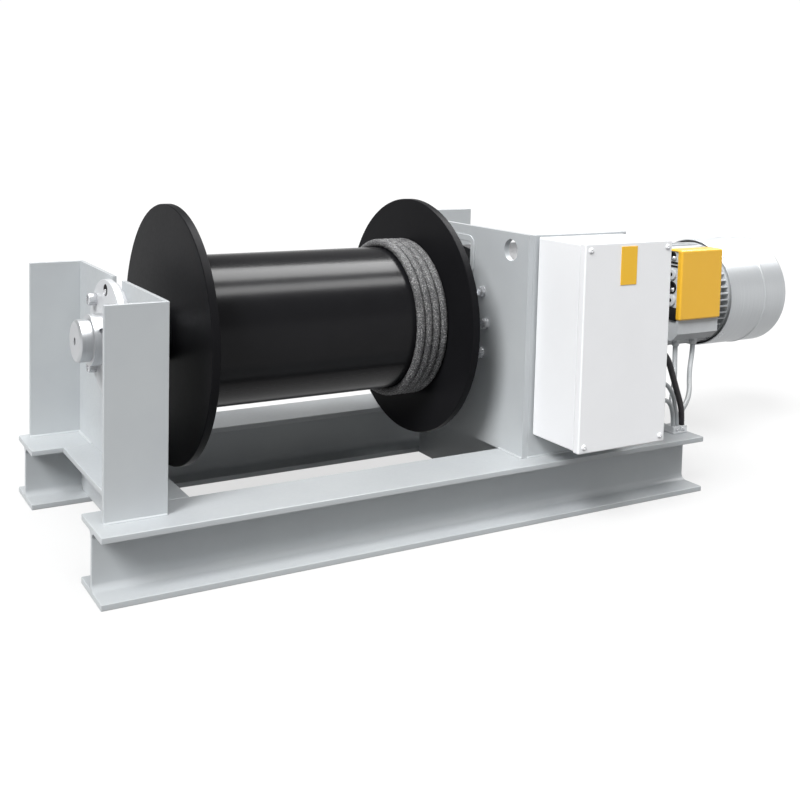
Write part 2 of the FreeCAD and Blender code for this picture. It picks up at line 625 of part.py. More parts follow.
def gearbox_main_stage():
    """The ring gear housing, bored for the end of the output shaft."""
    body = disc(GEARBOX_MAIN_LEFT, GEARBOX_INPUT_LEFT, GEARBOX_MAIN_RADIUS)
    bore_end = BULKHEAD_LEFT + OUTPUT_SHAFT_DEPTH + SHAFT_END_CLEARANCE
    if bore_end > GEARBOX_MAIN_LEFT:
        body = body.cut(disc(GEARBOX_MAIN_LEFT, bore_end, OUTPUT_SHAFT_RADIUS + RUNNING))
    return body


def gearbox_input_stage():
    return disc(GEARBOX_INPUT_LEFT, ADAPTER_LEFT, GEARBOX_INPUT_RADIUS)


# ---------------------------------------------------------------- motor
def motor_adapter():
    return disc(ADAPTER_LEFT, MOTOR_LEFT, MOTOR_ADAPTER_RADIUS)


def motor_fin_offsets(count):
    """Distances of the fins from the axis, evenly to both sides."""
    return [(step - (count - 1) / 2) * MOTOR_FIN_PITCH for step in range(count)]


def motor_housing():
    """The motor's frame: level and upright fins between two rings, with the terminal box's pad."""
    x0 = MOTOR_LEFT + MOTOR_RING
    x1 = MOTOR_RIGHT - MOTOR_RING
    half = MOTOR_FIN_THICKNESS / 2
    y0 = AXIS_SETBACK - MOTOR_RADIUS
    y1 = AXIS_SETBACK + MOTOR_RADIUS
    z0 = AXIS_HEIGHT - MOTOR_RADIUS
    z1 = AXIS_HEIGHT + MOTOR_RADIUS
    ribs = [block(TERMINAL_LEFT + MOTOR_PAD_INSET, TERMINAL_RIGHT - MOTOR_PAD_INSET, y0, AXIS_SETBACK,
                  AXIS_HEIGHT - MOTOR_PAD_HEIGHT / 2, AXIS_HEIGHT + MOTOR_PAD_HEIGHT / 2)]
    for offset in motor_fin_offsets(MOTOR_LEVEL_FINS):
        z = AXIS_HEIGHT + offset
        ribs.append(block(x0, x1, y0, y1, z - half, z + half))
    for offset in motor_fin_offsets(MOTOR_UPRIGHT_FINS):
        y = AXIS_SETBACK + offset
        ribs.append(block(x0, x1, y - half, y + half, z0, z1))
    ribs = ribs[0].multiFuse(ribs[1:]).common(disc(MOTOR_LEFT, MOTOR_RIGHT, MOTOR_RADIUS))
    core = disc(MOTOR_LEFT, MOTOR_RIGHT, MOTOR_ROOT_RADIUS)
    rings = [disc(MOTOR_LEFT, x0, MOTOR_RADIUS), disc(x1, MOTOR_RIGHT, MOTOR_RADIUS)]
    return core.multiFuse([ribs] + rings).removeSplitter()


def motor_brake():
    """The brake and fan housing at the motor's rear, under the cowl."""
    return disc(MOTOR_RIGHT, COWL_RIGHT - COWL_WALL - BRAKE_END_GAP, BRAKE_RADIUS)


def fan_cowl():
    """A thin cup over the motor's rear, held by small pads on the motor's frame."""
    cowl = disc(COWL_LEFT, COWL_RIGHT, COWL_RADIUS)
    rim = [edge for edge in cowl.Edges
           if edge.Curve.TypeId == "Part::GeomCircle" and abs(edge.CenterOfMass.x - COWL_RIGHT) < 0.01]
    cowl = cowl.makeFillet(COWL_EDGE_RADIUS, rim)
    cowl = cowl.cut(disc(COWL_LEFT, COWL_RIGHT - COWL_WALL, COWL_RADIUS - COWL_WALL))
    pad_height = COWL_RADIUS - COWL_WALL / 2 - MOTOR_RADIUS
    for degrees in (45, 135, 225, 315):
        outward = Vector(0, *around_axis(1.0, degrees))
        axis_point = Vector(COWL_LEFT + COWL_PAD_INSET, AXIS_SETBACK, AXIS_HEIGHT)
        foot = axis_point + outward * MOTOR_RADIUS
        cowl = cowl.fuse(Part.makeCylinder(COWL_PAD_RADIUS, pad_height, foot, outward))
    return cowl


# ---------------------------------------------------------------- terminal box
def terminal_box_base():
    """The cast box on the motor's front, shaped to the motor and chamfered below."""
    x0 = TERMINAL_LEFT + TERMINAL_COVER_WALL
    y0 = TERMINAL_FRONT + TERMINAL_BASE_SETBACK
    y1 = y0 + TERMINAL_BASE_DEPTH
    top = TERMINAL_TOP_Z - TERMINAL_COVER_WALL
    base = block(x0, TERMINAL_RIGHT, y0, y1, TERMINAL_BASE_BOTTOM, top)

    def is_low_front(edge):
        middle = edge.CenterOfMass
        low = abs(middle.z - TERMINAL_BASE_BOTTOM) < 0.01
        return runs_along(edge, 0) and low and abs(middle.y - y0) < 0.01

    base = base.makeChamfer(TERMINAL_BASE_CHAMFER, [edge for edge in base.Edges if is_low_front(edge)])
    base = base.cut(disc(x0, TERMINAL_RIGHT, MOTOR_RADIUS))
    return base.cut(terminal_box_cover())


def terminal_box_cover():
    """The cover: a rounded cap over the base's front, with a longer top."""
    y1 = TERMINAL_FRONT + TERMINAL_COVER_TOP_DEPTH
    cover = block(TERMINAL_LEFT, TERMINAL_RIGHT, TERMINAL_FRONT, y1,
                  TERMINAL_COVER_BOTTOM, TERMINAL_TOP_Z)

    def is_front_edge(edge):
        middle = edge.CenterOfMass
        on_front = abs(middle.y - TERMINAL_FRONT) < 0.01
        along_depth = runs_along(edge, 1)
        return on_front or along_depth

    cover = rounded(cover, TERMINAL_EDGE_RADIUS, is_front_edge)
    lip_rear = TERMINAL_FRONT + TERMINAL_COVER_LIP
    inner_top = TERMINAL_TOP_Z - TERMINAL_COVER_WALL
    behind_lip = block(TERMINAL_LEFT, TERMINAL_RIGHT, lip_rear, y1, TERMINAL_COVER_BOTTOM, inner_top)
    cover = cover.cut(behind_lip)
    pocket = block(TERMINAL_LEFT + TERMINAL_COVER_WALL, TERMINAL_RIGHT - TERMINAL_COVER_WALL,
                   TERMINAL_FRONT + TERMINAL_BASE_SETBACK, lip_rear,
                   TERMINAL_COVER_BOTTOM, inner_top)
    return cover.cut(pocket)


def gland_places():
    """X of the two cable glands under the terminal box."""
    return [TERMINAL_LEFT + GLAND_FIRST + step * GLAND_SPACING for step in range(2)]


def terminal_box_glands():
    """Cable glands screwed into the box's underside."""
    glands = []
    for x in gland_places():
        base = Vector(x, TERMINAL_FRONT + GLAND_SETBACK, TERMINAL_BASE_BOTTOM - GLAND_HEIGHT)
        glands.append(Part.makeCylinder(GLAND_RADIUS, GLAND_HEIGHT, base, Vector(0, 0, 1)))
    return Part.makeCompound(glands)


# ---------------------------------------------------------------- cabinet
def cabinet_body():
    """The closed body of the cabinet."""
    body = block(CABINET_LEFT + CABINET_BODY_INSET, CABINET_RIGHT - CABINET_BODY_INSET,
                 CABINET_BODY_FRONT, CABINET_REAR,
                 CABINET_LOW + CABINET_BODY_INSET, CABINET_HIGH - CABINET_BODY_INSET)
    return rounded(body, CABINET_EDGE_RADIUS, lambda edge: runs_along(edge, 1))


def cabinet_gasket():
    inset = CABINET_GASKET_INSET
    return block(CABINET_LEFT + inset, CABINET_RIGHT - inset, CABINET_COVER_REAR, CABINET_BODY_FRONT,
                 CABINET_LOW + inset, CABINET_HIGH - inset)


def cabinet_cover():
    """The screwed cover, with rounded edges around its front."""
    cover = block(CABINET_LEFT, CABINET_RIGHT, CABINET_FRONT, CABINET_COVER_REAR,
                  CABINET_LOW, CABINET_HIGH)

    def is_rounded(edge):
        on_front = abs(edge.CenterOfMass.y - CABINET_FRONT) < 0.01
        return on_front or runs_along(edge, 1)

    return rounded(cover, CABINET_EDGE_RADIUS, is_rounded)


def cover_screws():
    """The four screws in the cover's corners."""
    heads = []
    for x in (CABINET_LEFT + COVER_SCREW_EDGE, CABINET_RIGHT - COVER_SCREW_EDGE):
        for z in (CABINET_LOW + COVER_SCREW_EDGE, CABINET_HIGH - COVER_SCREW_EDGE):
            base = Vector(x, CABINET_FRONT, z)
            heads.append(Part.makeCylinder(COVER_SCREW_RADIUS, COVER_SCREW_HEAD, base, Vector(0, -1, 0)))
    return Part.makeCompound(heads)


def cabinet_spacers():
    """Four spacers between the cabinet's back and the front side plate."""
    spacers = []
    edge = CABINET_SPACER_EDGE
    for x in (CABINET_LEFT + edge, CABINET_RIGHT - edge):
        for z in (CABINET_LOW + edge, CABINET_HIGH - edge):
            base = Vector(x, CABINET_REAR, z)
            spacers.append(Part.makeCylinder(CABINET_SPACER_RADIUS, CABINET_SPACER, base,
                                             Vector(0, 1, 0)))
    return Part.makeCompound(spacers)


def sign_plate():
    """The blank plate near the cover's top."""
    x0 = CABINET_LEFT + SIGN_PLATE_FROM_LEFT
    z1 = CABINET_HIGH - SIGN_PLATE_DROP
    return block(x0, x0 + SIGN_PLATE_WIDTH, CABINET_FRONT - SIGN_PLATE_THICKNESS, CABINET_FRONT,
                 z1 - SIGN_PLATE_HEIGHT, z1)


# ---------------------------------------------------------------- cables
def cable_clamp():
    """The clamp block on the front beam that gathers all the cables."""
    x0 = CLAMP_X - CLAMP_LENGTH / 2
    y0 = CLAMP_OFFSET - CLAMP_DEPTH / 2
    return block(x0, x0 + CLAMP_LENGTH, y0, y0 + CLAMP_DEPTH, BEAM_TOP, CLAMP_TOP)


def clamped_cable(start, route, clamp_dx, row, radius):
    """A cable from its exit along a route and straight down into the clamp."""
    end = (CLAMP_X + clamp_dx, CLAMP_OFFSET + row, CLAMP_TOP)
    above = (end[0], end[1], CLAMP_TOP + CLAMP_HEIGHT)
    points = [start]
    for shares in route:
        points.append(tuple(a + share * (b - a) for a, b, share in zip(start, above, shares)))
    return cable(points + [above, end], radius)


def motor_cable(gland_x, route, clamp_dx):
    """A cable from a gland under the terminal box down to the clamp."""
    start = (gland_x, TERMINAL_FRONT + GLAND_SETBACK, TERMINAL_BASE_BOTTOM - GLAND_HEIGHT)
    return clamped_cable(start, route, clamp_dx, CLAMP_REAR_ROW, CABLE_RADIUS)


def cabinet_cable(exit_place, route, clamp_dx, radius):
    """A cable from the cabinet's right wall down to the clamp."""
    behind_front, above_bottom = exit_place
    start = (CABINET_RIGHT - CABINET_BODY_INSET, CABINET_FRONT + behind_front,
             CABINET_LOW + above_bottom)
    return clamped_cable(start, route, clamp_dx, CLAMP_FRONT_ROW, radius)


# ---------------------------------------------------------------- all nodes
def build():
    os.makedirs("parts", exist_ok=True)
    save("front_beam", beam(0.0))
    save("rear_beam", beam(BEAM_SPACING))
    save("left_cross_plate", left_cross_plate())
    save("left_cross_web", left_cross_web())
    save("right_cross_plate", right_cross_plate())
    save("bearing_stand_web", bearing_stand_web())
    save("bearing_stand_front_flange", bearing_stand_flange(STAND_FRONT, STAND_FRONT + STAND_PLATE))
    save("bearing_stand_rear_flange", bearing_stand_flange(STAND_REAR, STAND_REAR - STAND_PLATE))
    save("bearing_housing", bearing_housing())
    save("bearing_screws", bearing_screws())

    save("drum_shaft", drum_shaft())
    save("shaft_collar", shaft_collar())
    save("drum_left_hub", drum_left_hub())
    save("drum_left_flange", drum_flange(DRUM_LEFT))
    save("drum_barrel", drum_barrel())
    save("drum_right_flange", drum_flange(BARREL_RIGHT))
    save("drive_hub", drive_hub())
    save("rope_turns", rope_turns())

    save("bulkhead", bulkhead())
    save("window_frame", window_frame())
    save("front_side_plate", side_plate(BULKHEAD_FRONT, BULKHEAD_FRONT + SIDE_PLATE_THICKNESS))
    save("rear_side_plate", side_plate(BULKHEAD_REAR, BULKHEAD_REAR - SIDE_PLATE_THICKNESS))
    save("gearbox_flange", gearbox_flange())
    save("gearbox_bolts", gearbox_bolts())
    save("gearbox_main_stage", gearbox_main_stage())
    save("gearbox_input_stage", gearbox_input_stage())
    save("motor_adapter", motor_adapter())
    save("motor_housing", motor_housing())
    save("motor_brake", motor_brake())
    save("fan_cowl", fan_cowl())
    save("terminal_box_base", terminal_box_base())
    save("terminal_box_cover", terminal_box_cover())
    save("terminal_box_glands", terminal_box_glands())

    save("cabinet_body", cabinet_body())
    save("cabinet_gasket", cabinet_gasket())
    save("cabinet_cover", cabinet_cover())
    save("cover_screws", cover_screws())
    save("cabinet_spacers", cabinet_spacers())
    save("sign_plate", sign_plate())

    left_gland, right_gland = gland_places()
    save("cable_clamp", cable_clamp())
    save("left_motor_cable", motor_cable(left_gland, LEFT_MOTOR_CABLE_ROUTE, LEFT_MOTOR_CABLE_END))
    save("right_motor_cable", motor_cable(right_gland, RIGHT_MOTOR_CABLE_ROUTE, RIGHT_MOTOR_CABLE_END))
    save("cabinet_conduit", cabinet_cable(CONDUIT_EXIT, CONDUIT_ROUTE, CONDUIT_END, CONDUIT_RADIUS))
    save("upper_cabinet_lead", cabinet_cable(UPPER_LEAD_EXIT, UPPER_LEAD_ROUTE, UPPER_LEAD_END, LEAD_RADIUS))
    save("lower_cabinet_lead", cabinet_cable(LOWER_LEAD_EXIT, LOWER_LEAD_ROUTE, LOWER_LEAD_END, LEAD_RADIUS))


build()
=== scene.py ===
"""Looks of the electric mooring winch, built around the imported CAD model."""
import json
import math

import bmesh
import bpy
from mathutils import Matrix, Vector


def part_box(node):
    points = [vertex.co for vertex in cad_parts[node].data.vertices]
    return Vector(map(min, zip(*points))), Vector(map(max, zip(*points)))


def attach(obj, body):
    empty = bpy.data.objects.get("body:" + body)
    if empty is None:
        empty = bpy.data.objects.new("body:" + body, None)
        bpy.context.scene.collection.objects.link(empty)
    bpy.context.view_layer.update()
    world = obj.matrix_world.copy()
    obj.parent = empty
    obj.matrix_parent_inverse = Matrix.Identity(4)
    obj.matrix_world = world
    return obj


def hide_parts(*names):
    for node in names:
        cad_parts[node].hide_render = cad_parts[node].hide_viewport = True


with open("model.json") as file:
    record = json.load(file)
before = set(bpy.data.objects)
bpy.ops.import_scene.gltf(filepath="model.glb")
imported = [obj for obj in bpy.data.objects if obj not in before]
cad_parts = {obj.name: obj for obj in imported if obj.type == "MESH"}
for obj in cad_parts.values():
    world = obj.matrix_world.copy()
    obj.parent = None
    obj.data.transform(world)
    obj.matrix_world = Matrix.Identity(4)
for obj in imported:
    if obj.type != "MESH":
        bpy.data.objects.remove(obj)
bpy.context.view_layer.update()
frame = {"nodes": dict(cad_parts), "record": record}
NODES = frame["nodes"]
RECORD = frame["record"]
BODY_OF = {node: body for body, members in RECORD["behaviour"]["bodies"].items() for node in members}
SLOT_OF = {part["node"]: part["material_slot"] for part in RECORD["subparts"]}

shaft_lo, shaft_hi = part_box("drum_shaft")
AXIS_Y = (shaft_lo.y + shaft_hi.y) / 2
AXIS_Z = (shaft_lo.z + shaft_hi.z) / 2

# Sizes that more than one piece uses, in metres.
FLANGE_INSIDE = 0.004           # by which the drum's flanges are thicker than their solids, inwards
BEARING_SCREW_HEAD = 0.016      # height of the bearing's screw heads above its flange
COWL_BEAD = 0.0018              # by which the cowl's bead stands out from its skin
MERGE_DISTANCE = 1e-6           # below which two vertices of a solid's mesh are one
PLATE_EDGE = 0.0014             # width of the rounding along the edges of cut plates and beams
PART_EDGE = 0.0012              # and along those of machined, cast and folded pieces
SMALL_BEVEL = (0.0003, 1, 25.0)     # of bolts and glands: width, segments and angle


def cylinder_of(node):
    """Left x, right x and radius of a node that is round about the drum's axis."""
    lo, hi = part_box(node)
    return lo.x, hi.x, (hi.y - lo.y) / 2


def side_centre(lo, hi):
    """Y and Z of a box's middle."""
    return ((lo.y + hi.y) / 2, (lo.z + hi.z) / 2)


# ---------------------------------------------------------------- materials
def linear(value):
    """An sRGB value from 0 to 255 as a linear one."""
    value = value / 255
    return value / 12.92 if value <= 0.04045 else ((value + 0.055) / 1.055) ** 2.4


def rgb(r, g, b):
    """An opaque linear colour from sRGB values."""
    return (linear(r), linear(g), linear(b), 1.0)


def set_inputs(node, values):
    """Set a node's inputs by their names."""
    for name, value in values.items():
        node.inputs[name].default_value = value


def fill_ramp(node, stops):
    """Give a colour ramp its stops, each a position and a colour."""
    elements = node.color_ramp.elements
    while len(elements) < len(stops):
        elements.new(0.5)
    for element, (position, colour) in zip(elements, stops):
        element.position = position
        element.color = colour


class Nodes:
    """Shorthand for building one material's node tree."""

    def __init__(self, name):
        self.material = bpy.data.materials.new(name)
        self.material.use_nodes = True
        self.tree = self.material.node_tree
        self.shader = self.tree.nodes["Principled BSDF"]
        self.place = self.add("ShaderNodeTexCoord").outputs["Object"]

    def add(self, kind, **settings):
        node = self.tree.nodes.new(kind)
        for key, value in settings.items():
            setattr(node, key, value)
        return node

    def link(self, source, target):
        self.tree.links.new(source, target)

    def stretched(self, scale):
        """Places with another scale along each axis."""
        mapping = self.add("ShaderNodeMapping")
        mapping.inputs["Scale"].default_value = scale
        self.link(self.place, mapping.inputs["Vector"])
        return mapping.outputs["Vector"]

    def noise(self, scale, detail=3.0, roughness=0.55, vector=None):
        node = self.add("ShaderNodeTexNoise")
        set_inputs(node, {"Scale": scale, "Detail": detail, "Roughness": roughness})
        self.link(vector or self.place, node.inputs["Vector"])
        return node.outputs["Fac"]

    def ramp(self, source, stops):
        node = self.add("ShaderNodeValToRGB")
        fill_ramp(node, stops)
        self.link(source, node.inputs["Fac"])
        return node.outputs["Color"]

    def grey_range(self, source, low, high, start=0.3, end=0.7):
        """A value that goes from low to high while its source goes from start to end."""
        node = self.add("ShaderNodeMapRange")
        set_inputs(node, {"From Min": start, "From Max": end, "To Min": low, "To Max": high})
        self.link(source, node.inputs["Value"])
        return node.outputs["Result"]

    def mix(self, factor, first, second):
        """A mix of two colours, each fixed or linked."""
        node = self.add("ShaderNodeMix", data_type="RGBA")
        self.link(factor, node.inputs[0])
        for socket, value in ((node.inputs[6], first), (node.inputs[7], second)):
            if isinstance(value, tuple):
                socket.default_value = value
            else:
                self.link(value, socket)
        return node.outputs[2]

    def bump(self, height, distance, normal=None):
        node = self.add("ShaderNodeBump")
        set_inputs(node, {"Distance": distance, "Strength": 1.0})
        self.link(height, node.inputs["Height"])
        if normal is not None:
            self.link(normal, node.inputs["Normal"])
        return node.outputs["Normal"]

    def finish(self, colour, roughness, normal, metallic=0.0, specular=0.5):
        """Link the shader's main inputs and give back the material."""
        for source, name in ((colour, "Base Color"), (roughness, "Roughness"), (normal, "Normal")):
            self.link(source, self.shader.inputs[name])
        set_inputs(self.shader, {"Metallic": metallic, "Specular IOR Level": specular})
        return self.material


def paint(name, light, dark, rough=(0.34, 0.46), specular=0.5, peel=0.00004, blotch=5.0):
    """Sprayed paint: faint cloudy colour, orange peel, and roughness that varies."""
    n = Nodes(name)
    cloud = n.noise(blotch, 4.0, 0.6)
    fine = n.noise(140.0, 2.0)
    skin = n.noise(420.0, 2.0)
    colour = n.mix(n.grey_range(cloud, 0.0, 1.0, 0.35, 0.65), light, dark)
    return n.finish(colour, n.grey_range(fine, *rough), n.bump(skin, peel), specular=specular)


def brushed(name, light, dark, rough=(0.22, 0.38), grain=(3.0, 700.0, 700.0), metallic=1.0,
            depth=0.000006):
    """Brushed or turned metal: fine streaks along one axis."""
    n = Nodes(name)
    streak = n.noise(1.0, 3.0, 0.6, n.stretched(grain))
    cloud = n.noise(14.0, 3.0)
    base = n.mix(n.grey_range(streak, 0.0, 1.0), light, dark)
    colour = n.mix(n.grey_range(cloud, 0.0, 0.35), base, dark)
    return n.finish(colour, n.grey_range(streak, *rough), n.bump(streak, depth), metallic=metallic)


def moulded(name, light, dark, rough=(0.4, 0.55), specular=0.4):
    """Moulded plastic or rubber with a fine leathery skin."""
    n = Nodes(name)
    cloud = n.noise(30.0, 3.0)
    skin = n.noise(900.0, 2.0)
    colour = n.mix(n.grey_range(cloud, 0.0, 1.0), light, dark)
    return n.finish(colour, n.grey_range(skin, *rough), n.bump(skin, 0.00005), specular=specular)


def casting(name, light, dark):
    """Painted casting: slightly pebbled, with a cloudy tone that varies."""
    n = Nodes(name)
    cloud = n.noise(12.0, 5.0, 0.65)
    pebble = n.noise(240.0, 3.0)
    colour = n.mix(n.grey_range(cloud, 0.0, 1.0), light, dark)
    return n.finish(colour, n.grey_range(pebble, 0.42, 0.6), n.bump(pebble, 0.00025), specular=0.45)


def rope_wire(name):
    """Greased wire rope: wires across each strand, with dull grey worn crowns."""
    n = Nodes(name)
    grit = n.noise(430.0, 4.0, 0.7)
    patches = n.noise(30.0, 4.0, 0.6)
    wires = n.add("ShaderNodeTexWave", wave_type="BANDS", bands_direction="X")
    set_inputs(wires, {"Scale": 150.0, "Distortion": 3.0, "Detail": 2.0})
    n.link(n.place, wires.inputs["Vector"])
    worn = n.ramp(grit, [(0.36, rgb(32, 32, 34)), (0.50, rgb(86, 86, 87)), (0.66, rgb(206, 206, 206))])
    colour = n.mix(n.grey_range(patches, 0.0, 0.6), worn, rgb(56, 56, 58))
    normal = n.bump(grit, 0.0009, n.bump(wires.outputs["Fac"], 0.0005))
    return n.finish(colour, n.grey_range(grit, 0.5, 0.75), normal, specular=0.4)


def pale_floor(name):
    """A pale floor that is nearly as light as the backdrop, with faint shadows on it."""
    n = Nodes(name)
    set_inputs(n.shader, {
        "Base Color": (0.22, 0.22, 0.22, 1.0),
        "Roughness": 0.9,
        "Specular IOR Level": 0.0,
        "Emission Color": (1.0, 1.0, 1.0, 1.0),
        "Emission Strength": 0.70,
    })
    return n.material


MATERIALS = {
    "frame_paint": paint("frame_paint", rgb(187, 191, 193), rgb(182, 186, 189), specular=0.32),
    "bearing_steel": brushed("bearing_steel", rgb(205, 207, 209), rgb(198, 200, 203),
                             rough=(0.34, 0.40), metallic=0.15),
    "bright_screws": brushed("bright_screws", rgb(222, 223, 225), rgb(200, 202, 205),
                             rough=(0.2, 0.3), metallic=0.6),
    "shaft_steel": brushed("shaft_steel", rgb(196, 198, 200), rgb(184, 186, 189), rough=(0.38, 0.42),
                           grain=(1400.0, 6.0, 6.0), metallic=0.75, depth=0.000002),
    "drum_paint": paint("drum_paint", rgb(26, 26, 28), rgb(23, 23, 25), rough=(0.20, 0.22),
                        specular=0.11, peel=0.000004, blotch=7.0),
    "wire_rope": rope_wire("wire_rope"),
    # The gearbox is dark grey; this dark also stands in for the shade inside the bulkhead's window,
    # through which it shows.
    "gearbox_paint": casting("gearbox_paint", rgb(50, 51, 54), rgb(42, 43, 46)),
    "motor_paint": casting("motor_paint", rgb(196, 199, 201), rgb(184, 187, 190)),
    "cowl_metal": brushed("cowl_metal", rgb(196, 199, 201), rgb(182, 185, 188), rough=(0.32, 0.42),
                          grain=(900.0, 7.0, 7.0), metallic=0.5, depth=0.000003),
    "cover_yellow": paint("cover_yellow", rgb(238, 184, 52), rgb(234, 180, 47), rough=(0.3, 0.4)),
    "gland_plastic": moulded("gland_plastic", rgb(212, 214, 216), rgb(198, 201, 204)),
    "cable_grey": moulded("cable_grey", rgb(180, 183, 185), rgb(166, 170, 173)),
    "conduit_black": moulded("conduit_black", rgb(44, 40, 44), rgb(28, 25, 29)),
    "cabinet_paint": paint("cabinet_paint", rgb(243, 244, 246), rgb(240, 241, 243),
                           rough=(0.34, 0.42)),
    "gasket_rubber": moulded("gasket_rubber", rgb(70, 72, 76), rgb(52, 54, 58)),
    "spacer_steel": brushed("spacer_steel", rgb(158, 160, 164), rgb(132, 134, 138), metallic=0.6),
    "sign_yellow": paint("sign_yellow", rgb(243, 190, 42), rgb(240, 186, 38), rough=(0.3, 0.4)),
}
# Black of the terminal box's cable entries, and painted shade on the bearing's port.
BLACK_AND_PAINTED_SHADE = moulded("black_fittings_and_painted_shade", rgb(26, 25, 27), rgb(18, 17, 19), rough=(0.6, 0.8), specular=0.2)
DISC_PAINT = paint("drum_disc_paint", rgb(25, 25, 27), rgb(22, 22, 24), rough=(0.38, 0.42),
                   specular=0.03, peel=0.000006, blotch=7.0)
FLOOR = pale_floor("floor_plain")


# ---------------------------------------------------------------- piece helpers
def place(obj, material, body, replaces=()):
    """Give a piece its material and body, and hide the nodes that it stands for."""
    obj.data.materials.clear()
    obj.data.materials.append(material)
    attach(obj, body)
    if replaces:
        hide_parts(*replaces)


def soft_edges(obj, width=0.0, segments=2, angle=32.0):
    """Round a piece's edges by a real bevel and keep its flats flat."""
    for polygon in obj.data.polygons:
        polygon.use_smooth = True
    if width:
        bevel = obj.modifiers.new("rounding", "BEVEL")
        bevel.width = width
        bevel.segments = segments
        bevel.limit_method = "ANGLE"
        bevel.angle_limit = math.radians(angle)
        bevel.use_clamp_overlap = True
        bevel.miter_outer = "MITER_ARC"
    weighted = obj.modifiers.new("flat_faces", "WEIGHTED_NORMAL")
    weighted.keep_sharp = True
    weighted.weight = 80


def new_object(name, bm):
    """An object whose mesh comes from a filled bmesh."""
    mesh = bpy.data.meshes.new(name)
    bm.normal_update()
    bm.to_mesh(mesh)
    bm.free()
    obj = bpy.data.objects.new(name, mesh)
    bpy.context.scene.collection.objects.link(obj)
    return obj


def piece(name, bm, slot, replaces=(), body="frame", material=None, bevel=()):
    """A finished piece from a filled bmesh; bevel is the width, segments and angle of its edges."""
    obj = new_object(name, bm)
    place(obj, material or MATERIALS[slot], body, replaces)
    soft_edges(obj, *bevel)


def fitting(name, bm, slot, **options):
    """A finished piece whose faces are turned outwards first."""
    bmesh.ops.recalc_face_normals(bm, faces=bm.faces)
    piece(name, bm, slot, **options)


def dress(node, width, segments=2):
    """A copy of a CAD node with its facets merged and its edges rounded, in place of the node."""
    bm = bmesh.new()
    bm.from_mesh(NODES[node].data)
    bmesh.ops.remove_doubles(bm, verts=bm.verts, dist=MERGE_DISTANCE)
    flat = math.radians(0.6)
    bmesh.ops.dissolve_limit(bm, angle_limit=flat, verts=bm.verts, edges=bm.edges)
    piece(node + "_finished", bm, SLOT_OF[node], [node], BODY_OF[node], bevel=(width, segments))


def solid_boxes(node):
    """The two corners of each loose solid's box in a node, from its mesh islands."""
    bm = bmesh.new()
    bm.from_mesh(NODES[node].data)
    bmesh.ops.remove_doubles(bm, verts=bm.verts, dist=MERGE_DISTANCE)
    seen, found = set(), []
    for vert in bm.verts:
        if vert in seen:
            continue
        stack, island = [vert], []
        seen.add(vert)
        while stack:
            current = stack.pop()
            island.append(current.co.copy())
            for edge in current.link_edges:
                other = edge.other_vert(current)
                if other not in seen:
                    seen.add(other)
                    stack.append(other)
        lo = Vector([min(p[k] for p in island) for k in range(3)])
        hi = Vector([max(p[k] for p in island) for k in range(3)])
        found.append((lo, hi))
    bm.free()
    return found


# ---------------------------------------------------------------- shapes
def join_rings(bm, rings, steps):
    """Join rings of vertices by faces; a ring may also be a single vertex."""
    for first, second in zip(rings, rings[1:]):
        for step in range(steps):
            following = (step + 1) % steps
            corners = []
            for ring, index in ((first, step), (first, following), (second, following), (second, step)):
                vert = ring[0] if len(ring) == 1 else ring[index]
                if vert not in corners:
                    corners.append(vert)
            if len(corners) > 2:
                bm.faces.new(corners)


def turned(bm, profile, steps=96, centre=None, turn=0.0):
    """Add a surface of revolution about an axis along X; the profile is a list of (x, radius)."""
    cy, cz = centre or (AXIS_Y, AXIS_Z)
    rings = []
    for x, radius in profile:
        if radius == 0.0:
            rings.append([bm.verts.new((x, cy, cz))])
            continue
        ring = []
        for step in range(steps):
            angle = turn + 2 * math.pi * step / steps
            y = cy + radius * math.cos(angle)
            z = cz + radius * math.sin(angle)
            ring.append(bm.verts.new((x, y, z)))
        rings.append(ring)
    join_rings(bm, rings, steps)


def upright(bm, profile, centre, steps):
    """Add a surface of revolution about a vertical axis; the profile is a list of (z, radius)."""
    start = len(bm.verts)
    turned(bm, profile, steps, (0.0, 0.0))
    for vert in list(bm.verts)[start:]:
        height, across, along = vert.co
        vert.co = (centre[0] + across, centre[1] - along, height)


def frontal(bm, profile, seat, steps):
    """Add a surface of revolution about an axis along Y; its (y, radius) start at the seat."""
    start = len(bm.verts)
    turned(bm, profile, steps, (0.0, 0.0))
    for vert in list(bm.verts)[start:]:
        depth, across, up = vert.co
        vert.co = (seat[0] + across, seat[1] + depth, seat[2] + up)


def radial(bm, profile, x, surface, degrees, steps):
    """Add a head of (height, radius) that stands on a round surface about the drum's axis."""
    turn = Matrix.Rotation(math.radians(degrees), 4, "X")
    start = len(bm.verts)
    upright(bm, profile, (0.0, 0.0), steps)
    for vert in list(bm.verts)[start:]:
        across, along, height = vert.co
        out = turn @ Vector((0.0, surface + height, 0.0))
        side = turn @ Vector((0.0, 0.0, along))
        vert.co = Vector((x + across, AXIS_Y, AXIS_Z)) + out + side


def brick(bm, lo, hi):
    """Add a box between two corners."""
    verts = bmesh.ops.create_cube(bm, size=1.0)["verts"]
    centre = [(a + b) / 2 for a, b in zip(lo, hi)]
    size = [b - a for a, b in zip(lo, hi)]
    bmesh.ops.scale(bm, vec=size, verts=verts)
    bmesh.ops.translate(bm, vec=centre, verts=verts)
    return verts


def add_ring(bm, centre, side, up, radii):
    """Add a ring of vertices about a centre, one for each radius."""
    ring = []
    for step, radius in enumerate(radii):
        angle = 2 * math.pi * step / len(radii)
        out = side * math.cos(angle) + up * math.sin(angle)
        ring.append(bm.verts.new(centre + out * radius))
    return ring


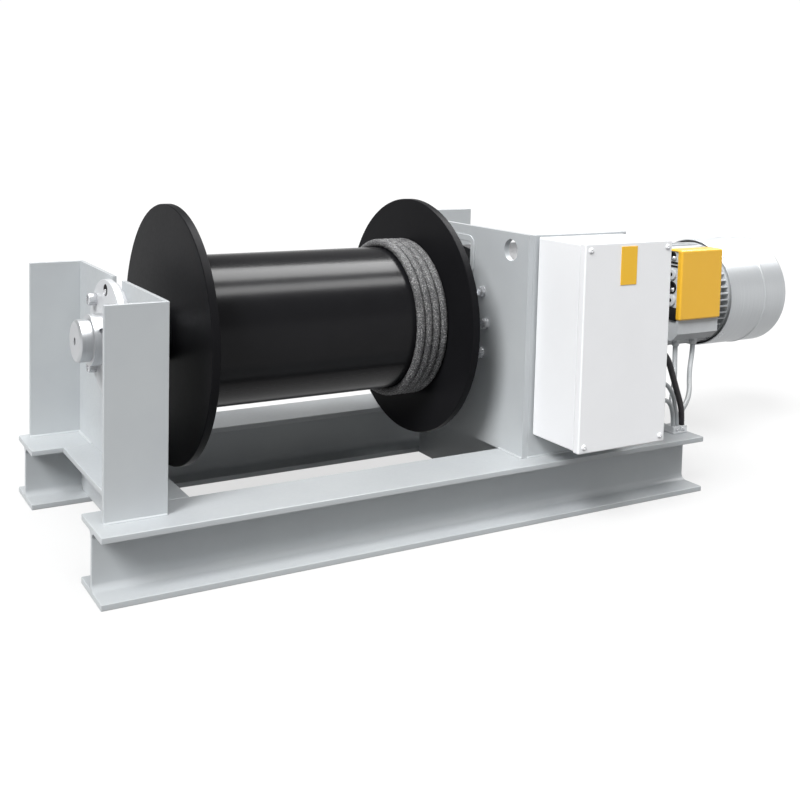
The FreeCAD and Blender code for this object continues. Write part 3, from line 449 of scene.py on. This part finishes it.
def tube_mesh(name, path, radius_at, steps):
    """A closed tube along a path; radius_at gives the radius at a length and an angle."""
    points = [Vector(p) for p in path]
    lengths = [0.0]
    for first, second in zip(points, points[1:]):
        lengths.append(lengths[-1] + (second - first).length)
    bm = bmesh.new()
    tangent = (points[1] - points[0]).normalized()
    side = tangent.orthogonal().normalized()
    angles = [2 * math.pi * step / steps for step in range(steps)]
    rings = []
    for index, point in enumerate(points):
        before = points[max(index - 1, 0)]
        after = points[min(index + 1, len(points) - 1)]
        tangent = (after - before).normalized()
        side = (side - tangent * side.dot(tangent)).normalized()
        radii = [radius_at(lengths[index], angle) for angle in angles]
        rings.append(add_ring(bm, point, side, tangent.cross(side), radii))
    join_rings(bm, rings, steps)
    bm.faces.new(rings[0][::-1])
    bm.faces.new(rings[-1])
    bmesh.ops.recalc_face_normals(bm, faces=bm.faces)
    obj = new_object(name, bm)
    for polygon in obj.data.polygons:
        polygon.use_smooth = len(polygon.vertices) == 4
    return obj


def smooth_route(points, resolution=14):
    """Points of a NURBS line that has the given control points."""
    curve = bpy.data.curves.new("route", "CURVE")
    curve.dimensions = "3D"
    curve.resolution_u = resolution
    spline = curve.splines.new("NURBS")
    spline.points.add(len(points) - 1)
    for target, point in zip(spline.points, points):
        target.co = (*point, 1.0)
    spline.order_u = 3
    spline.use_endpoint_u = True
    carrier = bpy.data.objects.new("route", curve)
    line = bpy.data.meshes.new_from_object(carrier)
    found = [vert.co.copy() for vert in line.vertices]
    bpy.data.objects.remove(carrier)
    bpy.data.curves.remove(curve)
    bpy.data.meshes.remove(line)
    return found


def resampled(path, spacing):
    """A path at even spacing."""
    lengths = [0.0]
    for first, second in zip(path, path[1:]):
        lengths.append(lengths[-1] + (second - first).length)
    count = max(2, round(lengths[-1] / spacing) + 1)
    found, index = [], 0
    for step in range(count):
        target = lengths[-1] * step / (count - 1)
        while index < len(lengths) - 2 and lengths[index + 1] < target:
            index += 1
        span = lengths[index + 1] - lengths[index]
        share = (target - lengths[index]) / span if span else 0.0
        found.append(path[index].lerp(path[index + 1], share))
    return found


# ---------------------------------------------------------------- camera
camera_data = bpy.data.cameras.new("camera")
camera_data.sensor_width = 36.0
camera_data.lens = 48.59
camera_data.shift_x = 0.075
camera_data.shift_y = -0.25
camera_data.clip_start = 0.05
camera_data.clip_end = 900.0
camera = bpy.data.objects.new("camera", camera_data)
camera.location = (-1.1278, -1.6917, 0.7907)
camera.rotation_euler = [math.radians(a) for a in (85.6235, -1.1853, -28.3431)]
bpy.context.scene.collection.objects.link(camera)
bpy.context.scene.camera = camera

# ---------------------------------------------------------------- studio
FLOOR_REACH = 250.0             # from the middle, so that its edge lies at the horizon
FLOOR_THICKNESS = 0.02
# Brightness of the backdrop from straight down (0) over the horizon (0.5) to straight up (1): white
# at the horizon, and darker below and above it for the reflections.
BACKDROP = ((0.40, 0.04), (0.47, 0.08), (0.49, 1.02), (0.56, 1.02), (0.64, 0.44), (1.0, 0.22))
COWL_MIDDLE = (1.1, 0.26, 0.37)


def add_light(name, kind, power, direction):
    """A light of a kind that shines in a direction."""
    data = bpy.data.lights.new(name, kind)
    data.energy = power
    light = bpy.data.objects.new(name, data)
    light.rotation_euler = direction.to_track_quat("-Z", "Y").to_euler()
    bpy.context.scene.collection.objects.link(light)
    return light


def area_light(name, location, target, size, power):
    """A softbox that only shows in reflections."""
    light = add_light(name, "AREA", power, Vector(target) - Vector(location))
    light.data.shape = "RECTANGLE"
    light.data.size, light.data.size_y = size
    light.location = location
    light.visible_diffuse = False


def broad_light(name, source, strength, spread):
    """A far, wide light that comes from the given direction and doesn't show in reflections."""
    light = add_light(name, "SUN", strength, -Vector(source))
    light.data.angle = math.radians(spread)
    light.visible_glossy = False


def make_floor():
    """The floor, which throws no light back at the winch."""
    bm = bmesh.new()
    brick(bm, (-FLOOR_REACH, -FLOOR_REACH, -FLOOR_THICKNESS), (FLOOR_REACH, FLOOR_REACH, 0.0))
    floor = new_object("floor", bm)
    floor.data.materials.append(FLOOR)
    floor.visible_diffuse = False


def make_backdrop():
    """A world whose brightness depends on the height above the horizon."""
    world = bpy.data.worlds.new("studio")
    world.use_nodes = True
    tree = world.node_tree
    direction = tree.nodes.new("ShaderNodeTexCoord")
    split = tree.nodes.new("ShaderNodeSeparateXYZ")
    shift = tree.nodes.new("ShaderNodeMapRange")
    ramp = tree.nodes.new("ShaderNodeValToRGB")
    background = tree.nodes["Background"]
    set_inputs(shift, {"From Min": -1.0, "From Max": 1.0})
    set_inputs(background, {"Strength": 1.0})
    fill_ramp(ramp, [(position, (value, value, value, 1.0)) for position, value in BACKDROP])
    tree.links.new(direction.outputs["Generated"], split.inputs[0])
    tree.links.new(split.outputs["Z"], shift.inputs["Value"])
    tree.links.new(shift.outputs["Result"], ramp.inputs["Fac"])
    tree.links.new(ramp.outputs["Color"], background.inputs["Color"])
    bpy.context.scene.world = world


make_floor()
make_backdrop()
broad_light("key_light", (-0.63, -0.33, 0.70), 3.55, 24.0)
broad_light("front_light", (0.05, -0.41, 0.91), 1.15, 30.0)
broad_light("rear_light", (0.40, 0.62, 0.68), 1.0, 30.0)
area_light("strip_high", (1.1, 0.55, 2.37), COWL_MIDDLE, (3.6, 0.90), 205.0)
area_light("strip_low", (1.1, -0.48, 2.20), COWL_MIDDLE, (3.6, 0.42), 100.0)

view = bpy.context.scene.view_settings
view.view_transform = "Standard"
view.look = "None"
view.exposure = 0.0
view.gamma = 1.0

# ---------------------------------------------------------------- steel frame
for node in ("front_beam", "rear_beam", "left_cross_plate", "left_cross_web", "right_cross_plate",
             "bearing_stand_front_flange", "bearing_stand_rear_flange", "bearing_stand_web",
             "bulkhead", "window_frame", "front_side_plate", "rear_side_plate"):
    dress(node, PLATE_EDGE)

# ---------------------------------------------------------------- bearing, shaft and drum
DRUM_STEPS = 240                # around the flanges and the barrel

for node in ("bearing_housing", "drum_shaft", "shaft_collar", "drum_left_hub", "drive_hub"):
    dress(node, PART_EDGE)


def drum_disc(node, inwards):
    """A drum flange with rounded rims, thicker inwards than its solid; inwards is 1 or -1 along X."""
    left, right, outer = cylinder_of(node)
    if inwards > 0:
        right += FLANGE_INSIDE
    else:
        left -= FLANGE_INSIDE
    bore = cylinder_of("drum_shaft")[2] * 0.9
    rim = 0.0018
    soft = 0.3 * rim
    bm = bmesh.new()
    turned(bm, [(left, bore), (left, outer - rim), (left + soft, outer - soft), (left + rim, outer),
                (right - rim, outer), (right - soft, outer - soft), (right, outer - rim),
                (right, bore)], DRUM_STEPS)
    piece(node + "_disc", bm, "drum_paint", [node], "drum", DISC_PAINT)


def barrel():
    """The drum's barrel, with the weld beads that join it to the flanges."""
    left, right, outer = cylinder_of("drum_barrel")
    start, end = left + FLANGE_INSIDE, right - FLANGE_INSIDE
    bead = 0.004
    arc = [math.pi / 2 * step / 6 for step in range(7)]
    profile = [(start + bead * (1 - math.cos(a)), outer + bead * (1 - math.sin(a))) for a in arc]
    profile += [(end - bead * (1 - math.cos(a)), outer + bead * (1 - math.sin(a)))
                for a in reversed(arc)]
    bm = bmesh.new()
    turned(bm, profile, DRUM_STEPS)
    piece("drum_barrel_skin", bm, "drum_paint", ["drum_barrel"], "drum")


def socket_screws():
    """Socket-head cap screws of the bearing, with hexagon recesses."""
    edge, recess_depth, point_depth = 0.0015, 0.008, 0.0095
    bm = bmesh.new()
    for lo, hi in solid_boxes("bearing_screws"):
        centre = side_centre(lo, hi)
        radius = (hi.y - lo.y) / 2
        rim, recess = radius * 0.62, radius * 0.58
        top, seat, inner_edge = lo.x, lo.x + BEARING_SCREW_HEAD, lo.x + 0.0006
        turned(bm, [(seat, 0.0), (seat, radius), (top + edge, radius), (top, radius - edge),
                    (top, rim)], 36, centre)
        turned(bm, [(top, rim), (inner_edge, recess)], 36, centre)
        turned(bm, [(inner_edge, recess), (top + recess_depth, recess), (top + point_depth, 0.0)],
               6, centre)
    piece("bearing_cap_screws", bm, "bright_screws", ["bearing_screws"])


def hex_bolts():
    """Hexagon bolts with washers that hold the gearbox to the bulkhead."""
    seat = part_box("bulkhead")[0].x
    washer_face = seat - 0.0025
    washer_edge, chamfer = 0.0004, 0.0018
    bm = bmesh.new()
    for index, (lo, hi) in enumerate(solid_boxes("gearbox_bolts")):
        centre = side_centre(lo, hi)
        washer = (hi.y - lo.y) / 2
        flats = washer * 0.80
        corner = flats / math.cos(math.radians(30))
        top, turn = lo.x, 0.5 * index
        turned(bm, [(seat, 0.0), (seat, washer), (washer_face + washer_edge, washer),
                    (washer_face, washer - washer_edge), (washer_face, 0.0)], 32, centre)
        turned(bm, [(washer_face, 0.0), (washer_face, corner), (top + chamfer, corner)], 6, centre, turn)
        turned(bm, [(top + chamfer, corner), (top, flats * 0.93), (top, 0.0)], 6, centre, turn)
    piece("gearbox_hex_bolts", bm, "bright_screws", ["gearbox_bolts"], bevel=SMALL_BEVEL)


drum_disc("drum_left_flange", 1)
drum_disc("drum_right_flange", -1)
barrel()
socket_screws()
hex_bolts()

# ---------------------------------------------------------------- wire rope
ROPE_TURNS = 4
ROPE_CROSSING = -30.0           # degrees around the barrel, where each turn crosses to the next
ROPE_CROSSING_WIDTH = 60.0      # degrees
ROPE_END_GAP = 40.0             # degrees from the crossing to each end of the rope
ROPE_LAY = 0.115                # length in which a strand goes once around the rope


def smooth_step(value):
    """A smooth rise from 0 to 1 while the value rises from 0 to 1."""
    value = min(max(value, 0.0), 1.0)
    return value * value * (3 - 2 * value)


def rope_line(lo, hi, middle):
    """The rope's middle line: turns side by side that cross to the next low down at the back."""
    pitch = (hi.x - lo.x) / ROPE_TURNS
    steps = 420 * ROPE_TURNS
    points = []
    for step in range(steps + 1):
        turned_by = ROPE_END_GAP + (360.0 * ROPE_TURNS - 2 * ROPE_END_GAP) * step / steps
        across = sum(smooth_step((turned_by - 360.0 * turn + ROPE_CROSSING_WIDTH / 2)
                                 / ROPE_CROSSING_WIDTH) for turn in range(1, ROPE_TURNS))
        around = math.radians(ROPE_CROSSING) - math.radians(turned_by)
        x = lo.x - FLANGE_INSIDE + pitch / 2 + pitch * across
        points.append((x, AXIS_Y + middle * math.cos(around), AXIS_Z + middle * math.sin(around)))
    return points


def wire_rope():
    """The stranded rope on the barrel, and a clamp at each of its ends."""
    lo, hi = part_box("rope_turns")
    outer = (hi.y - lo.y) / 2
    middle = (outer + cylinder_of("drum_barrel")[2]) / 2
    radius = outer - middle

    def outline(length, angle):
        """Six round strands, a little thinner where the rope starts under its clamp."""
        start = min(1.0, 0.80 + length / 0.012)
        strand = math.sqrt(abs(math.cos(3 * (angle + 2 * math.pi * length / ROPE_LAY))))
        return radius * 0.99 * start * (0.86 + 0.14 * strand)

    points = rope_line(lo, hi, middle)
    obj = tube_mesh("rope_strands", points, outline, 36)
    place(obj, MATERIALS["wire_rope"], "drum", ["rope_turns"])

    half_width, half_length, past_end = radius * 0.94, 0.015, 0.010
    clamps = bmesh.new()
    for end, direction in ((points[0], 1), (points[-1], -1)):
        around = math.atan2(end[2] - AXIS_Z, end[1] - AXIS_Y) + direction * past_end / middle
        turn = Matrix.Rotation(around, 4, "X")
        verts = brick(clamps, (end[0] - half_width, -half_length, -radius - 0.0008),
                      (end[0] + half_width, half_length, radius * 1.04))
        for vert in verts:
            x, tangent, height = vert.co
            out = turn @ Vector((0.0, middle + height, tangent))
            vert.co = Vector((x, AXIS_Y, AXIS_Z)) + out
    fitting("rope_end_clamps", clamps, "spacer_steel", body="drum", bevel=(0.0025, 3))


wire_rope()

# ---------------------------------------------------------------- gearbox, motor and cabinet
for node in ("gearbox_flange", "gearbox_main_stage", "gearbox_input_stage", "motor_adapter",
             "motor_brake", "terminal_box_base", "cabinet_body", "cabinet_cover",
             "cabinet_spacers"):
    dress(node, PART_EDGE)
dress("terminal_box_cover", 0.0016, 3)
for node in ("cabinet_gasket", "sign_plate"):
    dress(node, 0.0003)
dress("motor_housing", 0.0005, 1)


def cowl():
    """Fan cowl of brushed sheet, with a rolled bead and a grille of rings and bars."""
    left, right, outer = cylinder_of("fan_cowl")
    inner, skin = outer - 0.0045, outer - COWL_BEAD
    bead, half_bead, bead_foot = left + 0.60 * (right - left), 0.0032, 0.001
    edge = 0.011                    # radius of the rounding at the right end
    mouth, sheet = 0.112, 0.001     # radius of the opening that the grille closes, and its lip
    profile = [(left + 0.0005, inner), (left, inner + 0.0006), (left, skin - 0.0008),
               (left + 0.0008, skin), (bead - half_bead - bead_foot, skin)]
    for step in range(9):
        angle = math.pi * step / 8
        profile.append((bead - half_bead * math.cos(angle), skin + (outer - skin) * math.sin(angle)))
    profile.append((bead + half_bead + bead_foot, skin))
    for step in range(8):
        angle = math.pi / 2 * step / 7
        profile.append((right - edge + edge * math.sin(angle), skin - edge + edge * math.cos(angle)))
    profile += [(right, mouth), (right - sheet, mouth - sheet), (right - 2 * sheet, mouth - sheet),
                (right - 2 * sheet, 0.118), (right - edge, inner), (left + 0.0005, inner)]
    bm = bmesh.new()
    turned(bm, profile, 192)
    rings, first_ring, ring_pitch, half_wire = 7, 0.018, 0.0145, 0.0012
    back, front = right - 0.0025, right - 0.0005
    for ring in range(rings):
        radius = first_ring + ring * ring_pitch
        low, high = radius - half_wire, radius + half_wire
        turned(bm, [(back, low), (front, low), (front, high), (back, high), (back, low)])
    bars, half_bar = 8, 0.002
    for bar in range(bars):
        turn = Matrix.Rotation(math.pi / bars + 2 * math.pi * bar / bars, 4, "X")
        verts = brick(bm, (right - 0.0035, 0.004, -half_bar), (right - 0.001, 0.1135, half_bar))
        for vert in verts:
            vert.co = turn @ vert.co + Vector((0.0, AXIS_Y, AXIS_Z))
    piece("fan_cowl_brushed", bm, "cowl_metal", ["fan_cowl"])


def glands():
    """Cable glands: a hexagon body over a dome nut with twelve sides."""
    bm = bmesh.new()
    for lo, hi in solid_boxes("terminal_box_glands"):
        centre = ((lo.x + hi.x) / 2, (lo.y + hi.y) / 2)
        radius = (hi.x - lo.x) / 2
        top, bottom = hi.z, lo.z
        shoulder, neck = top - 0.0050, top - 0.0065
        upright(bm, [(top, 0.0), (top, radius), (shoulder, radius)], centre, 6)
        upright(bm, [(shoulder, radius), (top - 0.0055, radius * 0.84), (neck, radius * 0.84)],
                centre, 6)
        upright(bm, [(neck, radius * 0.86), (bottom + 0.004, radius * 0.86),
                     (bottom + 0.001, radius * 0.72), (bottom, radius * 0.62), (bottom, 0.0)],
                centre, 12)
    piece("gland_fittings", bm, "gland_plastic", ["terminal_box_glands"], bevel=SMALL_BEVEL)


def cover_screws():
    """Domed cabinet screws with a round recess, painted like the cabinet."""
    bm = bmesh.new()
    for lo, hi in solid_boxes("cover_screws"):
        radius, depth = (hi.x - lo.x) / 2, hi.y - lo.y
        profile = [(depth, 0.0), (depth, radius), (depth * 0.55, radius * 0.95),
                   (depth * 0.2, radius * 0.72), (0.0, radius * 0.45), (0.0, radius * 0.42),
                   (depth * 0.5, radius * 0.36), (depth * 0.5, 0.0)]
        frontal(bm, profile, ((lo.x + hi.x) / 2, lo.y, (lo.z + hi.z) / 2), 28)
    piece("cabinet_dome_screws", bm, "bright_screws", ["cover_screws"],
          material=MATERIALS["cabinet_paint"])


cowl()
glands()
cover_screws()

# ---------------------------------------------------------------- cables
CLAMP_LO, CLAMP_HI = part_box("cable_clamp")
CABINET_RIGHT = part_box("cabinet_body")[1].x
COVER_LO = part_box("cabinet_cover")[0]


def under_gland(lo, hi):
    """The middle of a gland's lower end."""
    return ((lo.x + hi.x) / 2, (lo.y + hi.y) / 2, lo.z)


def cabinet_exit(behind, above):
    """A place on the cabinet's right wall, from the front and the foot of its cover."""
    return (CABINET_RIGHT, COVER_LO.y + behind, COVER_LO.z + above)


left_gland, right_gland = sorted(solid_boxes("terminal_box_glands"), key=lambda pair: pair[0].x)
STARTS = {
    "left_motor_cable": under_gland(*left_gland),
    "right_motor_cable": under_gland(*right_gland),
    "cabinet_conduit": cabinet_exit(0.090, 0.179),
    "upper_cabinet_lead": cabinet_exit(0.098, 0.096),
    "lower_cabinet_lead": cabinet_exit(0.108, 0.049),
}
# X and Y of each cable's end from the middle of the clamp.
ENDS = {
    "left_motor_cable": (0.0005, 0.008),
    "right_motor_cable": (0.015, 0.008),
    "cabinet_conduit": (0.010, -0.0065),
    "upper_cabinet_lead": (-0.004, -0.0065),
    "lower_cabinet_lead": (-0.0145, -0.0065),
}
RADII = {
    "left_motor_cable": 0.0055,
    "right_motor_cable": 0.0055,
    "cabinet_conduit": 0.0065,
    "upper_cabinet_lead": 0.0045,
    "lower_cabinet_lead": 0.0045,
}
# Shares of the way in X, Y and Z from the start to a point above the clamp.
ROUTES = {
    "left_motor_cable": [(0, 0, 0.16), (0.32, 0.34, 0.53), (0.74, 0.64, 0.84)],
    "right_motor_cable": [(0, 0, 0.12), (0.28, 0.30, 0.45), (0.60, 0.80, 0.76)],
    "cabinet_conduit": [(0.23, 0, 0), (0.51, 0.17, 0.20), (0.66, 0.42, 0.42), (0.82, 0.68, 0.66),
                        (0.96, 0.92, 0.86)],
    "upper_cabinet_lead": [(0.32, 0, 0), (0.55, 0.08, 0.13), (0.69, 0.34, 0.28), (0.84, 0.65, 0.51),
                           (0.94, 0.91, 0.78)],
    "lower_cabinet_lead": [(0.37, 0, 0), (0.63, 0.10, 0.08), (0.78, 0.40, 0.25), (0.92, 0.78, 0.62)],
}
CONDUIT_RIB = 0.0034            # from rib to rib
CONDUIT_RIB_DEPTH = 0.0011


def cable_line(name):
    """The smooth line of one cable, from its exit into the clamp."""
    start = STARTS[name]
    dx, dy = ENDS[name]
    top = CLAMP_HI.z
    end = ((CLAMP_LO.x + CLAMP_HI.x) / 2 + dx, (CLAMP_LO.y + CLAMP_HI.y) / 2 + dy, top)
    above = (end[0], end[1], top + (top - CLAMP_LO.z))
    points = [start]
    for shares in ROUTES[name]:
        points.append(tuple(a + share * (b - a) for a, b, share in zip(start, above, shares)))
    return smooth_route(points + [above, end])


def cables():
    """Four smooth grey cables and the ribbed black conduit."""
    for name in ("left_motor_cable", "right_motor_cable", "upper_cabinet_lead", "lower_cabinet_lead"):
        line = resampled(cable_line(name), 0.004)
        obj = tube_mesh(name + "_sheath", line, lambda length, angle, r=RADII[name]: r, 20)
        place(obj, MATERIALS["cable_grey"], "frame", [name])

    def ribbed(length, angle):
        groove = 0.5 - 0.5 * math.cos(2 * math.pi * length / CONDUIT_RIB)
        return RADII["cabinet_conduit"] - CONDUIT_RIB_DEPTH * groove

    line = resampled(cable_line("cabinet_conduit"), 0.0006)
    obj = tube_mesh("cabinet_conduit_ribbed", line, ribbed, 20)
    place(obj, MATERIALS["conduit_black"], "frame", ["cabinet_conduit"])


def clamp():
    """Two-lobed cable clamp on the front beam, with its screws."""
    lo, hi = CLAMP_LO, CLAMP_HI
    middle, inset = (lo.x + hi.x) / 2, 0.001
    lobes = bmesh.new()
    brick(lobes, (lo.x, lo.y, lo.z), (hi.x, hi.y, lo.z + 0.004))
    for left, right in ((lo.x + inset, middle - inset), (middle + inset, hi.x - inset)):
        brick(lobes, (left, lo.y + inset, lo.z + 0.003), (right, hi.y - inset, hi.z))
    piece("cable_clamp_lobes", lobes, "gland_plastic", ["cable_clamp"], bevel=(0.0045, 4, 40.0))
    screws = bmesh.new()
    profile = [(-0.0018, 0.0), (-0.0018, 0.0032), (-0.0012, 0.0036), (0.0, 0.0036)]
    for share in (0.27, 0.73):
        frontal(screws, profile, (lo.x + (hi.x - lo.x) * share, lo.y + inset, lo.z + 0.009), 20)
    fitting("cable_clamp_screws", screws, "bright_screws")


cables()
clamp()


# ---------------------------------------------------------------- small fittings and welds
def terminal_fittings():
    """Cable entries, blanking caps and screws on the terminal box's left wall."""
    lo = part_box("terminal_box_base")[0]
    wall, middle = lo.x, lo.y + 0.023
    caps, entries, screws = bmesh.new(), bmesh.new(), bmesh.new()
    cap, stud, rim, pit = wall - 0.0045, wall - 0.0050, wall - 0.004, wall - 0.0005
    for height, radius in ((0.1525, 0.0125), (0.0935, 0.0135)):
        centre = (middle, lo.z + height)
        turned(caps, [(wall, radius), (wall - 0.0035, radius), (cap, radius - 0.001), (cap, 0.0)],
               36, centre)
        turned(entries, [(wall - 0.0042, 0.0045), (stud, 0.0042), (stud, 0.0)], 24, centre)
    for height, radius in ((0.195, 0.009), (0.123, 0.0135)):
        z = lo.z + height
        turned(entries, [(pit, 0.0), (pit, radius - 0.002), (rim, radius - 0.0015), (rim, radius),
                         (wall, radius)], 36, (middle, z))
        turned(screws, [(pit, 0.0052), (wall - 0.0052, 0.0050), (wall - 0.0060, 0.0)], 6,
               (middle - 0.006, z - 0.005))
    for height, out, half_y, half_z in ((0.1795, 0.0015, 0.015, 0.0020),
                                        (0.1715, 0.0015, 0.015, 0.0020),
                                        (0.063, 0.005, 0.018, 0.0145)):
        z = lo.z + height
        brick(entries, (wall - out, middle - half_y, z - half_z),
              (wall + 0.001, middle + half_y, z + half_z))
    fitting("terminal_box_caps", caps, "motor_paint")
    fitting("terminal_box_entries", entries, "conduit_black", material=BLACK_AND_PAINTED_SHADE)
    fitting("terminal_box_screws", screws, "bright_screws")


def bearing_port():
    """The port at the top of the bearing's flange, as a dark dished disc that is painted shade for its
    hollow, with the plug that closes it.
    """
    lo, hi = solid_boxes("bearing_screws")[0]
    screw_y, screw_z = side_centre(lo, hi)
    circle = math.hypot(screw_y - AXIS_Y, screw_z - AXIS_Z)
    radius = (hi.y - lo.y) / 2 * 0.92
    face = lo.x + BEARING_SCREW_HEAD
    floor, plug_top = face - 0.0002, face - 0.0028
    middle_z = AXIS_Z + circle
    port, plug = bmesh.new(), bmesh.new()
    turned(port, [(floor, 0.0), (floor, radius - 0.0015), (face - 0.0010, radius - 0.0008),
                  (face - 0.0004, radius), (face, radius)], 40, (AXIS_Y, middle_z))
    turned(plug, [(floor, radius * 0.52), (face - 0.0022, radius * 0.50), (plug_top, radius * 0.40),
                  (plug_top, 0.0)], 28, (AXIS_Y, middle_z - radius * 0.36))
    # The port's dark disc is painted shade, standing in for the depth of its hollow.
    fitting("bearing_port_painted_shade", port, "conduit_black", material=BLACK_AND_PAINTED_SHADE)
    fitting("bearing_port_plug", plug, "bright_screws")


def screw_ring(bm, profile, circle, count, start, sides):
    """Add the same head of (x, radius) in even steps around a circle about the drum's axis."""
    for step in range(count):
        angle = math.radians(start + 360.0 * step / count)
        centre = (AXIS_Y + circle * math.cos(angle), AXIS_Z + circle * math.sin(angle))
        turned(bm, profile, sides, centre, angle)


def drive_screws():
    """Screws of the gearbox's stages and of the motor's flange, and the gearbox's oil plugs."""
    main_left, main_right, main_radius = cylinder_of("gearbox_main_stage")
    input_radius = cylinder_of("gearbox_input_stage")[2]
    adapter_left, _, adapter_radius = cylinder_of("motor_adapter")
    bm = bmesh.new()
    radius, height = 0.0065, 0.008
    top = main_right + height
    screw_ring(bm, [(main_right, 0.0), (main_right, radius), (main_right + height * 0.8, radius),
                    (top, radius * 0.85), (top, 0.0)], (main_radius + input_radius) / 2, 12, 15.0, 24)
    radius, top = 0.0085, adapter_left - 0.0075
    screw_ring(bm, [(adapter_left, 0.0), (adapter_left, radius), (adapter_left - 0.006, radius),
                    (top, 0.0070), (top, 0.0)], (adapter_radius + input_radius) / 2, 8, 22.5, 6)
    plug = [(0.0, 0.0), (0.0, 0.0105), (0.006, 0.0105), (0.0072, 0.0095), (0.0072, 0.0)]
    for degrees in (90, 0, 270):
        radial(bm, plug, (main_left + main_right) / 2, main_radius - 0.0004, degrees, 6)
    fitting("drive_stage_screws", bm, "bright_screws")


def cowl_screws():
    """Pairs of small screws that hold the cowl's rim to the motor."""
    left, _, outer = cylinder_of("fan_cowl")
    skin = outer - COWL_BEAD
    head = [(0.0, 0.0034), (0.0008, 0.0032), (0.0014, 0.0020), (0.0016, 0.0)]
    bm = bmesh.new()
    for degrees in (45.0, 135.0, 225.0, 315.0):
        for offset in (-3.0, 3.0):
            radial(bm, head, left + 0.012, skin - 0.0001, degrees + offset, 20)
    fitting("cowl_rim_screws", bm, "bright_screws")


def cabinet_glands():
    """Nuts where the three cabinet cables come out of its right wall."""
    bm = bmesh.new()
    for name in ("cabinet_conduit", "upper_cabinet_lead", "lower_cabinet_lead"):
        wall, *centre = STARTS[name]
        cable = RADII[name]
        radius = cable + 0.0045
        nut, seal = wall + 0.006, wall + 0.014
        turned(bm, [(wall, cable), (wall, radius), (wall + 0.005, radius), (nut, radius - 0.001),
                    (nut, cable)], 6, centre)
        turned(bm, [(nut, radius * 0.86), (wall + 0.012, radius * 0.80), (seal, radius * 0.68),
                    (seal, cable * 0.98)], 28, centre)
    fitting("cabinet_gland_nuts", bm, "gland_plastic")


def weld_bead(bm, first, second):
    """A rippled weld bead along a straight seam."""
    size, spacing, ripple, sides = 0.0035, 0.0016, 0.0055, 10
    first, second = Vector(first), Vector(second)
    along = (second - first).normalized()
    side = along.orthogonal().normalized()
    length = (second - first).length
    count = max(2, round(length / spacing))
    rings = []
    for index in range(count + 1):
        share = index / count
        radius = size * (0.90 + 0.10 * abs(math.sin(math.pi * share * length / ripple)))
        if index in (0, count):
            radius *= 0.5
        rings.append(add_ring(bm, first.lerp(second, share), side, along.cross(side), [radius] * sides))
    join_rings(bm, rings, sides)
    bm.faces.new(rings[0][::-1])
    bm.faces.new(rings[-1])


def welds():
    """Beads along the feet of the stand, the bulkhead and the side plates, on both beams."""
    inset, shortest = 0.002, 0.004
    bm = bmesh.new()
    for node in ("bearing_stand_front_flange", "bearing_stand_rear_flange", "bearing_stand_web",
                 "bulkhead", "front_side_plate", "rear_side_plate"):
        lo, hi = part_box(node)
        for beam in ("front_beam", "rear_beam"):
            beam_lo, beam_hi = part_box(beam)
            y0, y1 = max(lo.y, beam_lo.y + inset), min(hi.y, beam_hi.y - inset)
            if y1 - y0 < shortest:
                continue
            x0, x1 = max(lo.x, beam_lo.x + inset), min(hi.x, beam_hi.x - inset)
            z = beam_hi.z
            if y1 - y0 > x1 - x0:
                seams = (((x0, y0, z), (x0, y1, z)), ((x1, y0, z), (x1, y1, z)))
            else:
                seams = (((x0, y0, z), (x1, y0, z)), ((x0, y1, z), (x1, y1, z)))
            for first, second in seams:
                weld_bead(bm, first, second)
    bmesh.ops.recalc_face_normals(bm, faces=bm.faces)
    obj = new_object("weld_beads", bm)
    place(obj, MATERIALS["frame_paint"], "frame")
    for polygon in obj.data.polygons:
        polygon.use_smooth = True


terminal_fittings()
bearing_port()
drive_screws()
cowl_screws()
cabinet_glands()
welds()
